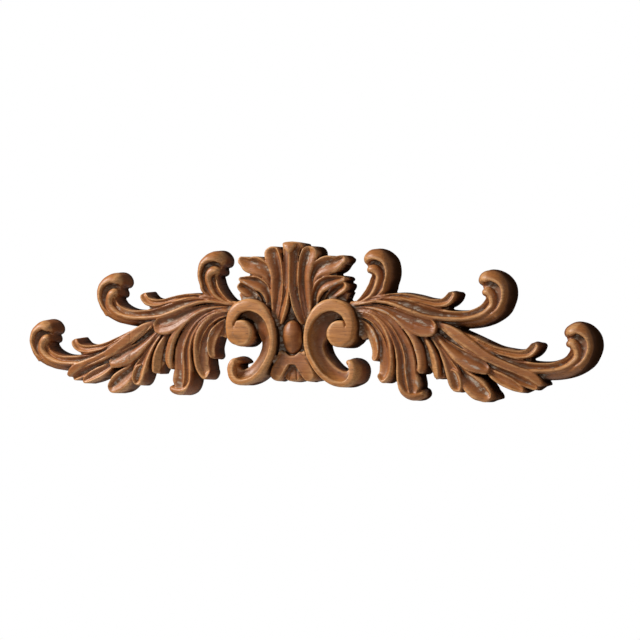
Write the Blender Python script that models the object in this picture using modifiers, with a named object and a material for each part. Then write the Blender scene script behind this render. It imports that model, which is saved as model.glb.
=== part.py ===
"""A carved wood overdoor ornament: a relief cut from one board and pierced to its outline.

It is drawn in millimetres as strokes, the way a carver marks out a leaf: each stroke runs from its root
to its tip through a few stations, and its section says how the gouge shapes it between its two edges.
The strokes overlap as the leaves and scrolls do, and are fused into one solid. The back is flat and lies
on y = 0, and the carving faces -y, with +z up.
"""

import math
from typing import NamedTuple

import bmesh
import bpy

MM = 0.001

BACK_OVERRUN = 4.0          # the strokes run this far past the back plane before it is cut flat
FUSE_VOXEL = 1.2            # grain of the grid that fuses the strokes
SOFTENING = 1               # smoothing passes over the fused surface
TRIANGLES_KEPT = 8600       # faces left after thinning
# How much further out a wall stands at the back than at the front: one that faces the nearer end of the
# board, one that faces the middle, and one that faces up or down
DRAFT_OUT = 7.5
DRAFT_IN = 1.5
DRAFT_Z = 2.0
STEP_ALONG = 2.5            # spacing of the cross sections along a stroke
STEP_ACROSS = 1.6           # spacing of the points across it

# The outer tendril repeats the middle one this far out and down.
TENDRIL_STEP = (104.0, -63.0)
# The upper curl's head is the middle one's, moved by this much.
UPPER_HEAD_STEP = (-148.5, 27.5)


class Section(NamedTuple):
    """How a stroke is shaped between its edges, left and right as seen when moving from root to tip."""

    hollow: float = 0.0         # depth of the gouge cut, or minus the rise of a crown
    rim: float = 2.0            # width left along each edge before the gouge cut
    power: float = 2.0          # 1 cuts a V, 2 a round hollow
    lean: float = 0.0           # how much lower the right edge lies than the left
    left_round: float = 2.0     # radius over the left edge
    right_round: float = 2.0    # radius over the right edge
    flutes: int = 1             # gouge cuts side by side


class Stroke(NamedTuple):
    """A carved form. Each station is x, z, half width and height above the back."""

    stations: tuple
    section: Section
    tip_round: float = 0.0      # length over which the tip is rounded
    mirrored: bool = True
    draft: float = 1.0          # share of the draft that its walls take
    inward: float = DRAFT_IN    # draft of its walls that face the middle


def moved(stations, step):
    """The same stations carried along by step."""
    return tuple((x + step[0], z + step[1], w, h) for x, z, w, h in stations)


# Sections shared by several strokes
SCOOP = Section(hollow=6.0, rim=1.6, power=1.6, left_round=1.6, right_round=1.6)
VEINED = Section(hollow=7.5, rim=1.6, power=1.3, left_round=1.6, right_round=1.6)
SHINGLE = Section(hollow=3.5, rim=1.8, power=2.0, lean=9.0, left_round=1.8, right_round=4.0)
TWO_FLUTES = Section(hollow=5.0, rim=1.4, power=1.8, lean=5.0, left_round=1.8, right_round=2.5, flutes=2)
RIDGE = Section(hollow=0.0, left_round=3.0, right_round=3.0)
CHANNEL = Section(hollow=7.0, rim=1.4, power=2.0, left_round=1.5, right_round=1.5)
BAND = Section(hollow=-1.0, rim=0.0, lean=4.0, left_round=1.0, right_round=6.5)
GROUND = Section(left_round=3.0, right_round=3.0)

# The head of a curl, drawn for the middle tendril: the rolled outer band and the ridge coiled inside it
HEAD_BAND = (
    (276.0, 24.0, 3.9, 36.0), (277.9, 35.0, 3.4, 36.5), (275.4, 46.0, 4.6, 36.5),
    (269.0, 53.0, 6.2, 36.0), (260.5, 55.8, 6.7, 35.5), (253.0, 54.4, 7.2, 34.5),
    (248.8, 49.2, 5.8, 32.0), (249.5, 43.5, 3.0, 28.0),
)
HEAD_RIDGE = (
    (264.0, 20.0, 6.0, 34.0), (265.5, 29.0, 7.0, 34.5), (262.0, 36.0, 7.2, 34.5),
    (256.5, 36.5, 5.8, 33.0), (251.0, 32.0, 4.2, 29.0),
)
# The floor of the crescent between them
HEAD_FLOOR = (
    (266.0, 10.0, 5.0, 23.0), (270.0, 19.0, 7.0, 23.0), (272.0, 30.0, 9.0, 23.0),
    (264.0, 44.0, 9.0, 24.0), (255.0, 47.5, 7.0, 24.0), (249.0, 44.5, 4.0, 23.0),
)
# The stem that leads to it, and the small hook above the stem
STEM_BAND = (
    (195.0, -3.0, 3.5, 26.0), (225.0, -4.6, 3.8, 28.0), (245.0, -2.0, 4.2, 30.0),
    (260.0, 3.5, 4.6, 33.0), (271.0, 12.5, 4.6, 35.0),
)
STEM_RIDGE = (
    (210.0, 1.6, 2.4, 36.0), (230.0, 1.7, 2.4, 35.0), (245.0, 4.8, 3.0, 34.5),
    (257.0, 10.5, 4.0, 34.0),
)
STEM_CHANNEL = (
    (190.0, 10.0, 7.8, 33.0), (210.0, 6.2, 5.8, 32.5), (230.0, 6.2, 5.4, 32.0),
    (245.4, 10.6, 5.6, 31.0), (257.0, 18.8, 5.2, 29.0),
)
HOOK_TAIL = (
    (180.0, 23.2, 4.6, 34.0), (195.0, 21.8, 5.2, 34.0), (205.5, 24.4, 6.2, 34.0),
    (213.4, 33.0, 5.6, 33.0),
)

STROKES = {
    # The C scroll beside the middle, its eye and its rolled foot
    "scroll_rim": Stroke(
        ((83.0, -58.0, 3.6, 37.0), (85.0, -66.0, 4.2, 38.0), (81.6, -75.6, 4.2, 39.0),
         (74.0, -80.5, 3.9, 40.0), (62.0, -81.2, 3.6, 41.0), (48.0, -76.0, 3.4, 41.5),
         (36.0, -65.5, 3.2, 42.0), (27.5, -52.0, 3.1, 42.0), (23.0, -37.0, 3.0, 42.0),
         (22.6, -21.0, 3.1, 42.0), (26.0, -5.0, 4.0, 42.0), (33.5, 8.0, 5.4, 42.0),
         (45.0, 17.0, 7.0, 42.0), (59.0, 19.3, 7.8, 42.0), (71.5, 15.0, 8.2, 42.0),
         (79.0, 4.0, 8.6, 42.0), (79.0, -8.0, 9.0, 42.0)),
        Section(hollow=-0.6, rim=0.0, left_round=2.2, right_round=1.2)),
    "scroll_eye": Stroke(
        ((69.0, 2.6, 4.0, 40.0), (69.0, -1.0, 10.5, 41.5), (69.6, -7.0, 15.5, 42.0),
         (69.6, -16.0, 18.0, 42.0), (69.0, -33.0, 17.0, 41.0)),
        Section(hollow=-1.0, rim=0.0, left_round=2.0, right_round=2.0), tip_round=18.0),
    "scroll_cove": Stroke(
        ((70.0, 7.0, 3.0, 36.0), (60.0, 7.5, 6.0, 38.0), (49.0, 4.0, 8.0, 40.5),
         (40.0, -6.0, 10.0, 41.0), (35.5, -22.0, 12.0, 41.0), (37.0, -38.0, 11.0, 41.0),
         (43.0, -52.0, 10.0, 41.0), (53.0, -64.5, 9.5, 40.5), (66.0, -70.0, 9.0, 39.5),
         (78.0, -66.0, 7.0, 37.0)),
        Section(hollow=5.0, rim=0.0, power=2.0, lean=-14.0, left_round=1.2, right_round=0.5)),
    "scroll_foot": Stroke(
        ((60.0, -80.0, 4.0, 32.0), (74.0, -79.0, 6.0, 35.0), (81.5, -73.4, 7.8, 37.0),
         (83.2, -64.0, 6.6, 37.0), (80.8, -55.6, 5.2, 36.0), (75.5, -52.8, 3.6, 34.0)),
        Section(hollow=-1.0, rim=0.0, left_round=2.0, right_round=8.0), tip_round=3.0, draft=1.3,
        inward=5.0),

    # The upper curl
    "upper_band": Stroke(
        ((108.0, 24.0, 3.0, 26.0), (118.0, 29.0, 3.6, 31.0),
         (126.5, 40.0, 3.8, 35.0)) + moved(HEAD_BAND, UPPER_HEAD_STEP),
        BAND, tip_round=5.0),
    "upper_ridge": Stroke(
        ((92.0, 22.0, 2.0, 28.0), (103.0, 29.0, 2.8, 32.0),
         (112.0, 38.5, 4.2, 34.0)) + moved(HEAD_RIDGE, UPPER_HEAD_STEP),
        RIDGE, tip_round=4.0),
    "upper_floor": Stroke(
        ((102.0, 22.0, 8.0, 25.0), (113.0, 32.0, 9.0, 24.0)) + moved(HEAD_FLOOR[1:], UPPER_HEAD_STEP),
        GROUND),
    "upper_flank": Stroke(
        ((84.0, 20.0, 2.0, 24.0), (96.0, 29.5, 3.6, 28.0), (105.5, 40.0, 5.0, 30.0),
         (110.5, 51.5, 5.0, 29.0), (108.0, 58.5, 3.0, 27.0)),
        CHANNEL, tip_round=4.0),

    # The middle tendril: its small hook, its channelled stem and its curl
    "middle_hook": Stroke(
        ((108.0, 27.5, 2.0, 28.0), (135.0, 30.8, 4.2, 33.0), (160.0, 28.6, 4.6, 34.0)) + HOOK_TAIL,
        SCOOP, tip_round=4.0),
    "middle_channel": Stroke(
        ((100.0, 23.5, 2.0, 27.0), (125.0, 25.5, 3.4, 31.0), (150.0, 22.0, 5.6, 33.0),
         (170.0, 16.5, 7.8, 33.5))
        + STEM_CHANNEL, CHANNEL),
    "middle_ridge": Stroke(
        ((112.0, 24.0, 1.4, 34.0), (135.0, 22.0, 2.1, 37.0), (160.0, 13.8, 2.4, 38.0),
         (180.0, 6.2, 2.5, 38.0), (194.0, 2.6, 2.5, 37.0)) + STEM_RIDGE + HEAD_RIDGE,
        RIDGE, tip_round=4.0),
    "middle_band": Stroke(STEM_BAND + HEAD_BAND, BAND, tip_round=5.0),
    "middle_floor": Stroke(HEAD_FLOOR, GROUND),

    # The outer tendril
    "outer_hook": Stroke(
        ((214.0, -6.0, 3.0, 30.0), (233.0, -23.5, 4.0, 32.0), (250.0, -32.4, 4.6, 33.0),
         (266.0, -38.0, 4.6, 34.0))
        + moved(HOOK_TAIL, TENDRIL_STEP), SCOOP, tip_round=4.0),
    "outer_channel": Stroke(
        ((222.0, -14.0, 4.0, 29.0), (240.0, -30.0, 5.4, 32.0), (258.0, -41.5, 6.2, 33.0),
         (276.0, -48.5, 7.0, 33.0))
        + moved(STEM_CHANNEL, TENDRIL_STEP), CHANNEL),
    "outer_ridge": Stroke(
        ((298.0, -60.0, 2.2, 34.0),) + moved(STEM_RIDGE + HEAD_RIDGE, TENDRIL_STEP),
         RIDGE, tip_round=4.0),
    "outer_band": Stroke(moved(STEM_BAND + HEAD_BAND, TENDRIL_STEP), BAND, tip_round=5.0, draft=1.25),
    "outer_floor": Stroke(moved(HEAD_FLOOR, TENDRIL_STEP), GROUND),

    # The broad leaf between the tendrils and the strips that fall from it
    "oval_leaf": Stroke(
        ((92.0, 20.5, 2.0, 28.0), (115.0, 19.5, 3.0, 33.0), (135.0, 14.5, 5.0, 36.0),
         (155.0, 5.0, 8.4, 38.0), (168.0, -3.2, 11.0, 38.5), (179.0, -9.0, 12.4, 38.5),
         (194.0, -16.0, 11.0, 37.5)),
        VEINED, tip_round=15.0),
    "strip_one": Stroke(
        ((80.0, 8.0, 3.0, 26.0), (92.0, 3.0, 4.5, 30.0), (103.0, -5.0, 7.0, 34.0),
         (109.0, -16.0, 8.5, 35.0), (111.5, -29.0, 8.0, 35.0), (110.5, -39.0, 7.4, 34.0),
         (109.0, -47.5, 6.0, 33.0)),
        SHINGLE, tip_round=8.0),
    "strip_two": Stroke(
        ((84.0, 9.0, 3.0, 27.0), (97.0, 6.0, 4.5, 31.0), (110.0, -2.0, 6.5, 34.0),
         (120.0, -13.0, 8.5, 36.0), (127.0, -27.0, 10.4, 37.0), (129.0, -41.0, 10.2, 36.5),
         (128.0, -54.0, 9.6, 36.0), (125.5, -66.0, 9.4, 35.0), (122.0, -78.0, 8.0, 34.0)),
        TWO_FLUTES, tip_round=7.0),
    "strip_three": Stroke(
        ((86.0, 13.5, 2.5, 29.0), (103.0, 11.5, 3.5, 32.0), (120.0, 6.5, 5.0, 34.0),
         (134.0, -4.5, 6.6, 35.0), (145.0, -20.0, 8.0, 36.0), (150.6, -38.0, 9.2, 36.0),
         (151.0, -55.0, 9.6, 36.0), (149.5, -70.0, 9.8, 35.5), (151.5, -81.0, 10.6, 35.0),
         (159.0, -90.0, 9.0, 34.0), (165.0, -92.4, 7.0, 32.0), (170.5, -90.6, 5.0, 30.0)),
        TWO_FLUTES, tip_round=6.0),
    "strip_four": Stroke(
        ((112.0, 16.5, 2.5, 29.0), (135.0, 9.5, 3.6, 33.0), (151.0, -3.0, 5.4, 35.0),
         (162.0, -18.0, 7.0, 36.0), (169.0, -33.0, 8.0, 36.0), (171.0, -48.0, 8.4, 35.5),
         (171.5, -58.0, 7.8, 35.0), (172.0, -67.0, 6.0, 34.0)),
        SHINGLE, tip_round=9.0),
    "strip_five": Stroke(
        ((160.0, -8.0, 3.0, 27.0), (172.0, -20.0, 5.0, 30.0), (182.0, -35.0, 6.8, 32.5),
         (188.0, -50.0, 7.8, 33.0), (190.5, -62.0, 7.4, 33.0), (191.0, -74.0, 6.0, 32.0)),
        SHINGLE, tip_round=9.0),

    # The outer spray
    "spray_small": Stroke(
        ((183.0, -16.0, 3.0, 29.0), (196.0, -36.0, 6.0, 32.0), (206.5, -54.0, 8.0, 33.0),
         (214.5, -70.0, 8.2, 33.0), (222.0, -88.0, 6.0, 31.5)),
        SCOOP, tip_round=12.0),
    "spray_leaf": Stroke(
        ((192.0, -18.0, 3.0, 29.0), (207.0, -38.0, 5.4, 32.0), (220.0, -55.0, 9.2, 33.5),
         (232.0, -70.0, 13.0, 34.5), (243.0, -81.0, 14.5, 35.0), (253.0, -89.5, 12.5, 34.5),
         (262.5, -96.0, 9.0, 33.0)),
        VEINED, tip_round=15.0),
    "spray_lobe": Stroke(
        ((198.0, -12.0, 3.0, 30.0), (214.0, -27.0, 5.6, 33.0), (230.0, -40.0, 8.0, 35.0),
         (243.0, -50.0, 9.4, 35.5), (253.0, -57.5, 9.0, 35.5), (263.0, -64.0, 7.0, 34.0)),
        SCOOP, tip_round=9.0),
    "spray_spine": Stroke(
        ((192.0, -4.0, 4.0, 31.0), (212.0, -16.0, 7.4, 35.0), (232.0, -30.0, 7.6, 36.5),
         (255.0, -43.5, 6.2, 37.0), (280.0, -54.8, 5.2, 37.0), (302.0, -63.2, 4.8, 36.0),
         (316.0, -70.0, 5.4, 35.0), (325.0, -78.0, 4.0, 33.0)),
        Section(hollow=-1.5, rim=0.0, lean=-4.0, left_round=2.0, right_round=1.4), tip_round=7.0),
    "spray_flute": Stroke(
        ((256.0, -48.0, 2.0, 29.0), (275.0, -59.5, 4.4, 31.0), (292.0, -68.0, 6.0, 31.5),
         (308.0, -76.0, 6.0, 31.0), (321.0, -83.0, 5.0, 30.0)),
        SCOOP, tip_round=8.0),
    "spray_bud": Stroke(
        ((254.0, -56.0, 3.0, 27.0), (267.0, -65.5, 5.6, 31.0), (281.0, -74.0, 7.2, 32.0),
         (292.0, -80.0, 7.0, 32.0), (302.5, -87.0, 5.0, 30.0)),
        SCOOP, tip_round=9.0),

    # The crown of leaves over the middle
    "crown_rib": Stroke(
        ((0.0, 34.0, 8.0, 36.5), (0.0, 45.0, 10.5, 39.0), (0.0, 60.0, 11.6, 40.0),
         (0.0, 80.0, 12.0, 39.5), (0.0, 92.0, 13.5, 37.5), (0.0, 100.5, 15.5, 36.0)),
        Section(hollow=7.0, rim=0.6, power=1.7, left_round=1.0, right_round=1.0, flutes=2),
        mirrored=False),
    "crown_branch": Stroke(
        ((5.2, 58.0, 3.6, 32.5), (5.0, 48.0, 4.6, 36.5), (5.2, 36.0, 4.0, 38.0), (7.6, 20.0, 3.4, 37.5),
         (12.0, 6.0, 3.0, 36.0), (16.5, -5.0, 2.4, 33.0)),
        Section(hollow=2.0, rim=1.2, left_round=1.6, right_round=1.6)),
    "crown_cap": Stroke(
        ((1.0, 84.0, 9.0, 24.0), (1.5, 93.0, 14.0, 30.0), (1.5, 101.0, 13.5, 35.0)),
        GROUND, mirrored=False),
    "crown_lip": Stroke(
        ((0.0, 99.5, 10.5, 40.5), (0.0, 94.5, 7.0, 42.0), (-1.0, 87.5, 2.0, 41.5)),
        Section(hollow=-0.8, rim=0.0, left_round=1.5, right_round=1.5), tip_round=5.0, mirrored=False),
    "crown_tall_leaf": Stroke(
        ((21.0, 0.0, 4.0, 31.0), (17.5, 20.0, 6.6, 33.0), (18.0, 40.0, 8.4, 34.5),
         (20.5, 58.0, 10.0, 35.5), (23.5, 75.0, 11.8, 36.5), (26.0, 85.0, 11.4, 36.5),
         (28.0, 95.0, 9.0, 35.0)),
        VEINED, tip_round=9.0, draft=0.5),
    "crown_wide_leaf": Stroke(
        ((24.0, 28.0, 4.0, 29.0), (30.0, 44.0, 7.4, 32.0), (39.0, 58.5, 11.0, 34.5),
         (50.0, 69.5, 13.4, 35.5), (59.5, 75.0, 9.5, 35.0), (66.5, 77.0, 5.5, 33.5),
         (73.5, 78.5, 2.0, 32.0)),
        VEINED, tip_round=5.0, draft=0.5),
    "crown_low_leaf": Stroke(
        ((30.0, 6.0, 4.0, 27.0), (33.0, 21.0, 7.2, 30.0), (40.0, 35.5, 10.8, 32.5),
         (51.0, 45.0, 12.0, 33.5), (62.0, 49.0, 8.0, 33.0), (73.5, 50.5, 3.6, 31.0)),
        VEINED, tip_round=6.0, draft=0.5),
    "crown_low_lobe": Stroke(
        ((36.0, 14.0, 6.0, 23.0), (52.0, 25.0, 8.0, 26.0), (64.0, 30.0, 7.5, 27.0),
         (75.0, 31.5, 5.0, 25.0)),
        SCOOP, tip_round=5.0, draft=0.5),

    # The bead, the bib under it and the bud in the bib's arch
    "bead_field": Stroke(
        ((0.0, 34.0, 4.0, 30.0), (0.0, 12.0, 14.0, 26.0), (0.0, -8.0, 22.0, 23.0),
         (0.0, -30.0, 24.0, 22.0), (0.0, -50.0, 18.0, 24.0)),
        Section(hollow=3.0, rim=0.0, left_round=0.5, right_round=0.5), mirrored=False),
    "bead": Stroke(
        ((0.0, 0.5, 6.0, 30.0), (0.0, -7.0, 10.6, 33.5), (0.0, -19.0, 12.6, 36.0),
         (0.0, -31.0, 11.2, 34.5), (0.0, -42.0, 7.0, 30.0)),
        Section(hollow=-3.0, rim=0.0, left_round=7.0, right_round=7.0), tip_round=9.0, mirrored=False),
    "bib_edge": Stroke(
        ((-1.0, -47.0, 1.6, 31.5), (10.0, -44.5, 1.8, 31.5), (20.0, -39.0, 1.8, 30.5)), RIDGE),
    "bib_middle": Stroke(
        ((-19.0, -52.0, 6.0, 30.5), (0.0, -49.5, 8.0, 32.0), (19.0, -52.0, 6.0, 30.5)),
        Section(left_round=2.0, right_round=2.0), mirrored=False),
    "bib_lappet": Stroke(
        ((5.0, -45.0, 8.5, 29.0), (11.5, -55.0, 10.0, 31.0), (19.5, -65.0, 9.0, 31.5),
         (26.0, -78.0, 7.6, 30.0)),
        Section(hollow=1.0, rim=2.0, left_round=2.0, right_round=2.0), tip_round=9.0),
    "bib_bud": Stroke(
        ((0.0, -52.0, 8.0, 22.0), (0.0, -66.0, 11.0, 26.0), (0.0, -75.0, 12.0, 27.0),
         (0.0, -80.5, 10.0, 25.0)),
        Section(hollow=-2.5, rim=0.0, left_round=3.0, right_round=3.0), tip_round=3.0, mirrored=False),

    # The ground left between the forms
    "crown_ground": Stroke(
        ((0.0, 85.0, 30.0, 24.0), (0.0, 60.0, 52.0, 23.0), (0.0, 40.0, 58.0, 22.0),
         (0.0, 15.0, 60.0, 22.0)),
        RIDGE, mirrored=False),
    "crown_notch": Stroke(((42.0, 58.0, 6.0, 26.0), (60.0, 61.5, 4.0, 25.0)), GROUND),
    "crown_foot": Stroke(((50.0, 26.0, 6.0, 25.0), (69.0, 30.5, 5.0, 24.0)), GROUND),
    "spray_ground": Stroke(
        ((78.0, 10.0, 14.0, 27.0), (108.0, 8.0, 17.0, 25.0), (140.0, 0.0, 21.0, 22.0),
         (166.0, -9.0, 20.0, 22.0), (190.0, -16.0, 16.0, 22.0), (215.0, -25.0, 14.0, 22.0),
         (240.0, -39.0, 13.0, 22.0), (262.0, -52.0, 9.0, 22.0), (290.0, -63.0, 6.0, 20.0)),
        RIDGE),
    "strip_ground": Stroke(
        ((125.0, -5.0, 14.0, 21.0), (143.0, -30.0, 16.0, 21.0), (150.0, -56.0, 9.0, 20.0)), RIDGE),
    "leaf_ground": Stroke(
        ((165.0, -15.0, 12.0, 22.0), (184.0, -40.0, 10.0, 21.0), (194.0, -60.0, 7.0, 20.0)), RIDGE),
}


def hermite(before, start, end, after, share):
    """One value between start and end on a smooth curve through all four."""
    rise, fall = (end - before) / 2, (after - start) / 2
    s2, s3 = share * share, share ** 3
    at_end = 3 * s2 - 2 * s3
    return (1 - at_end) * start + at_end * end + (s3 - 2 * s2 + share) * rise + (s3 - s2) * fall


def flow(stations):
    """The centre line as closely spaced (x, z, half width, height, length so far)."""
    padded = (stations[0],) + tuple(stations) + (stations[-1],)
    points = []
    for i in range(1, len(padded) - 2):
        a, b = padded[i], padded[i + 1]
        pieces = max(2, math.ceil(math.dist(a[:2], b[:2]) / STEP_ALONG))
        around = (padded[i - 1], a, b, padded[i + 2])
        for k in range(pieces):
            points.append([hermite(*(station[c] for station in around), k / pieces) for c in range(4)])
    points.append(list(stations[-1]))
    length = 0.0
    for i, point in enumerate(points):
        if i:
            length += math.dist(point[:2], points[i - 1][:2])
        point.append(length)
    return points


def edge_drop(distance, radius):
    """How far a rounded edge has fallen at this distance in from it."""
    if distance >= radius:
        return 0.0
    return radius - math.sqrt(max(0.0, radius ** 2 - (radius - distance) ** 2))


def gouge_cut(section, across, half_width, widest):
    """Depth of the hollow at across, from -1 at the right edge to 1 at the left."""
    inner = 2 * (half_width - section.rim)
    if inner <= 0 or not section.hollow:
        return 0.0
    share = ((across + 1) * half_width - section.rim) / inner
    if not 0 < share < 1:
        return 0.0
    place = share * section.flutes % 1
    fullness = min(1.0, inner / (1.2 * (widest - section.rim) + 0.01))
    return section.hollow * fullness * (1 - abs(2 * place - 1) ** section.power)


def stroke_mesh(bm, stroke, side):
    """Adds one stroke to the mesh as a closed solid, from its carved face to past the back plane."""
    section = stroke.section
    line = flow(stroke.stations)
    length = line[-1][4]
    widest = max(point[2] for point in line)
    columns = max(4, math.ceil(2 * widest / STEP_ACROSS))
    grid = bmesh.ops.create_grid(bm, x_segments=len(line) - 1, y_segments=columns, size=0.5)["verts"]
    faces = list({face for vert in grid for face in vert.link_faces})
    grown = bmesh.ops.extrude_face_region(bm, geom=faces, use_keep_orig=True)["geom"]
    front = {item for item in grown if isinstance(item, bmesh.types.BMVert)}
    for vert in list(grid) + list(front):
        row = round((vert.co.x + 0.5) * (len(line) - 1))
        across = 2 * vert.co.y
        x, z, half_width, height, so_far = line[row]
        ahead, behind = line[min(row + 1, len(line) - 1)], line[max(row - 1, 0)]
        run_x, run_z = ahead[0] - behind[0], ahead[1] - behind[1]
        run = math.hypot(run_x, run_z) or 1.0
        to_tip = length - so_far
        slope = 0.0 if vert in front else stroke.draft
        if to_tip < stroke.tip_round:
            past = 1 - to_tip / stroke.tip_round
            half_width *= math.sqrt(max(0.0004, 1 - past ** 2))
        else:
            past = 0.0
        out_x = past * run_x / run - across * run_z / run
        out_z = past * run_z / run + across * run_x / run
        sideways = DRAFT_OUT if out_x > 0 and stroke.mirrored else stroke.inward
        x += slope * out_x * sideways - run_z / run * across * half_width
        z += slope * out_z * DRAFT_Z + run_x / run * across * half_width
        drop = gouge_cut(section, across, half_width, widest)
        drop += max(edge_drop((1 - across) * half_width, section.left_round),
                    edge_drop((1 + across) * half_width, section.right_round))
        lean = section.lean * (1 - across) / 2 if section.lean > 0 else -section.lean * (1 + across) / 2
        y = -(height - drop - lean) if vert in front else BACK_OVERRUN
        vert.co = (side * x * MM, y * MM, z * MM)


def wood():
    """Warm brown polished wood."""
    material = bpy.data.materials.new("carved_wood")
    material.use_nodes = True
    shader = material.node_tree.nodes["Principled BSDF"]
    shader.inputs["Base Color"].default_value = (0.36, 0.17, 0.07, 1.0)
    shader.inputs["Roughness"].default_value = 0.5
    return material


def carving(collection):
    """The whole ornament as one object: every stroke on both sides, with the modifier that fuses them."""
    bm = bmesh.new()
    for stroke in STROKES.values():
        for side in (1, -1) if stroke.mirrored else (1,):
            stroke_mesh(bm, stroke, side)
    bmesh.ops.recalc_face_normals(bm, faces=bm.faces)
    mesh = bpy.data.meshes.new("carved_ornament")
    bm.to_mesh(mesh)
    bm.free()
    ornament = bpy.data.objects.new("carved_ornament", mesh)
    collection.objects.link(ornament)
    mesh.materials.append(wood())
    fuse = ornament.modifiers.new("fuse", "REMESH")
    fuse.mode = "VOXEL"
    fuse.voxel_size = FUSE_VOXEL * MM
    return ornament


def fused_and_flat(ornament):
    """Applies the fusing, softens and thins the surface, and cuts the back flat."""
    soften = ornament.modifiers.new("soften", "SMOOTH")
    soften.factor = 0.5
    soften.iterations = SOFTENING
    bpy.context.view_layer.update()
    graph = bpy.context.evaluated_depsgraph_get()
    faces = len(ornament.evaluated_get(graph).data.polygons)
    thin = ornament.modifiers.new("thin", "DECIMATE")
    thin.ratio = TRIANGLES_KEPT / (2 * faces)
    bpy.context.view_layer.update()
    graph = bpy.context.evaluated_depsgraph_get()
    mesh = bpy.data.meshes.new_from_object(ornament.evaluated_get(graph))
    bm = bmesh.new()
    bm.from_mesh(mesh)
    cut = bmesh.ops.bisect_plane(bm, geom=bm.verts[:] + bm.edges[:] + bm.faces[:], plane_co=(0, 0, 0),
                                 plane_no=(0, 1, 0), clear_outer=True)
    rim = [item for item in cut["geom_cut"] if isinstance(item, bmesh.types.BMEdge)]
    bmesh.ops.holes_fill(bm, edges=rim)
    bmesh.ops.triangulate(bm, faces=bm.faces[:])
    bmesh.ops.recalc_face_normals(bm, faces=bm.faces)
    bm.to_mesh(mesh)
    bm.free()
    ornament.modifiers.clear()
    ornament.data = mesh
    mesh.shade_smooth()


def main():
    for old in list(bpy.data.objects):
        bpy.data.objects.remove(old)
    collection = bpy.data.collections.new("overdoor_ornament")
    bpy.context.scene.collection.children.link(collection)
    fused_and_flat(carving(collection))


main()
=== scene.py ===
"""Dresses the carved wood overdoor ornament: the carving at full detail, its old polish, and a small studio.

All drawing is in millimetres, as on the CAD frame: x to the right, z up, and height measured forward from
the back plane at y = 0. The carving is built as a carver works it, stroke by stroke. Each stroke runs from
its root to its tip through a few stations, and its profile says how the gouge leaves it between its edges.
"""

import logging
import math
from dataclasses import dataclass, field
from enum import Enum
from typing import Sequence

import bpy
import numpy as np
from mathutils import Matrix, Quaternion, Vector


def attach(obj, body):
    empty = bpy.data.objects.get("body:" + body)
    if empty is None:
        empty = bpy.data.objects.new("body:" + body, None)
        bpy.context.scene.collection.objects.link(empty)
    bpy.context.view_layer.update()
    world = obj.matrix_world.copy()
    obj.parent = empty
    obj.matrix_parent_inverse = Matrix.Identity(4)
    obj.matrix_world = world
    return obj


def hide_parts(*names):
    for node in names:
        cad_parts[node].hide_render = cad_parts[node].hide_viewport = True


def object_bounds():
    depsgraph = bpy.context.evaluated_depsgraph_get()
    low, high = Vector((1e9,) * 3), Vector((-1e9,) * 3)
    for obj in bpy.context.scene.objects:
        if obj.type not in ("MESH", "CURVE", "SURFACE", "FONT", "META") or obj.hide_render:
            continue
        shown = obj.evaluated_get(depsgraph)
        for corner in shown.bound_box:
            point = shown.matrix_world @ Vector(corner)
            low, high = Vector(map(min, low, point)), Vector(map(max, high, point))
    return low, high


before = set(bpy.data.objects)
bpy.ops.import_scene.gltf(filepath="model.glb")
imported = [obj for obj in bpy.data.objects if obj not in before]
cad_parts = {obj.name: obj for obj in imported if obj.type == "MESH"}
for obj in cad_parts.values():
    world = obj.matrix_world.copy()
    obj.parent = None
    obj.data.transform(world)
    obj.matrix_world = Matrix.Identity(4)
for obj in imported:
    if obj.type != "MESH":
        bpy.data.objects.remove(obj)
CAD_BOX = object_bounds()

LOG = logging.getLogger("overdoor_ornament")

MM = 0.001
NODE = "carved_ornament"

# How far apart a block's columns stand, in millimetres, and the least that is left of a rounded end's width
COLUMN = 0.7
LEAST_WIDTH = 0.02

# A station holds x, z, the half width and the height there
Station = tuple[float, float, float, float]
Stations = tuple[Station, ...]
Line = tuple[tuple[float, float], ...]
Place = tuple[float, float, float]
Colour = tuple[float, float, float]


def share(value: np.ndarray, low: float, high: float) -> np.ndarray:
    """How far each value has come from low to high, kept between 0 and 1."""
    return np.clip((value - low) / (high - low), 0, 1)


def moved(stations: Stations, step: tuple[float, float]) -> Stations:
    """Carries stations along.

    Args:
        stations: stations as x, z, half width and height.
        step: how far to carry them along x and z.

    Returns:
        The same stations in their new place.
    """
    return tuple((x + step[0], z + step[1], w, h) for x, z, w, h in stations)


# How the gouge leaves a stroke


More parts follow.
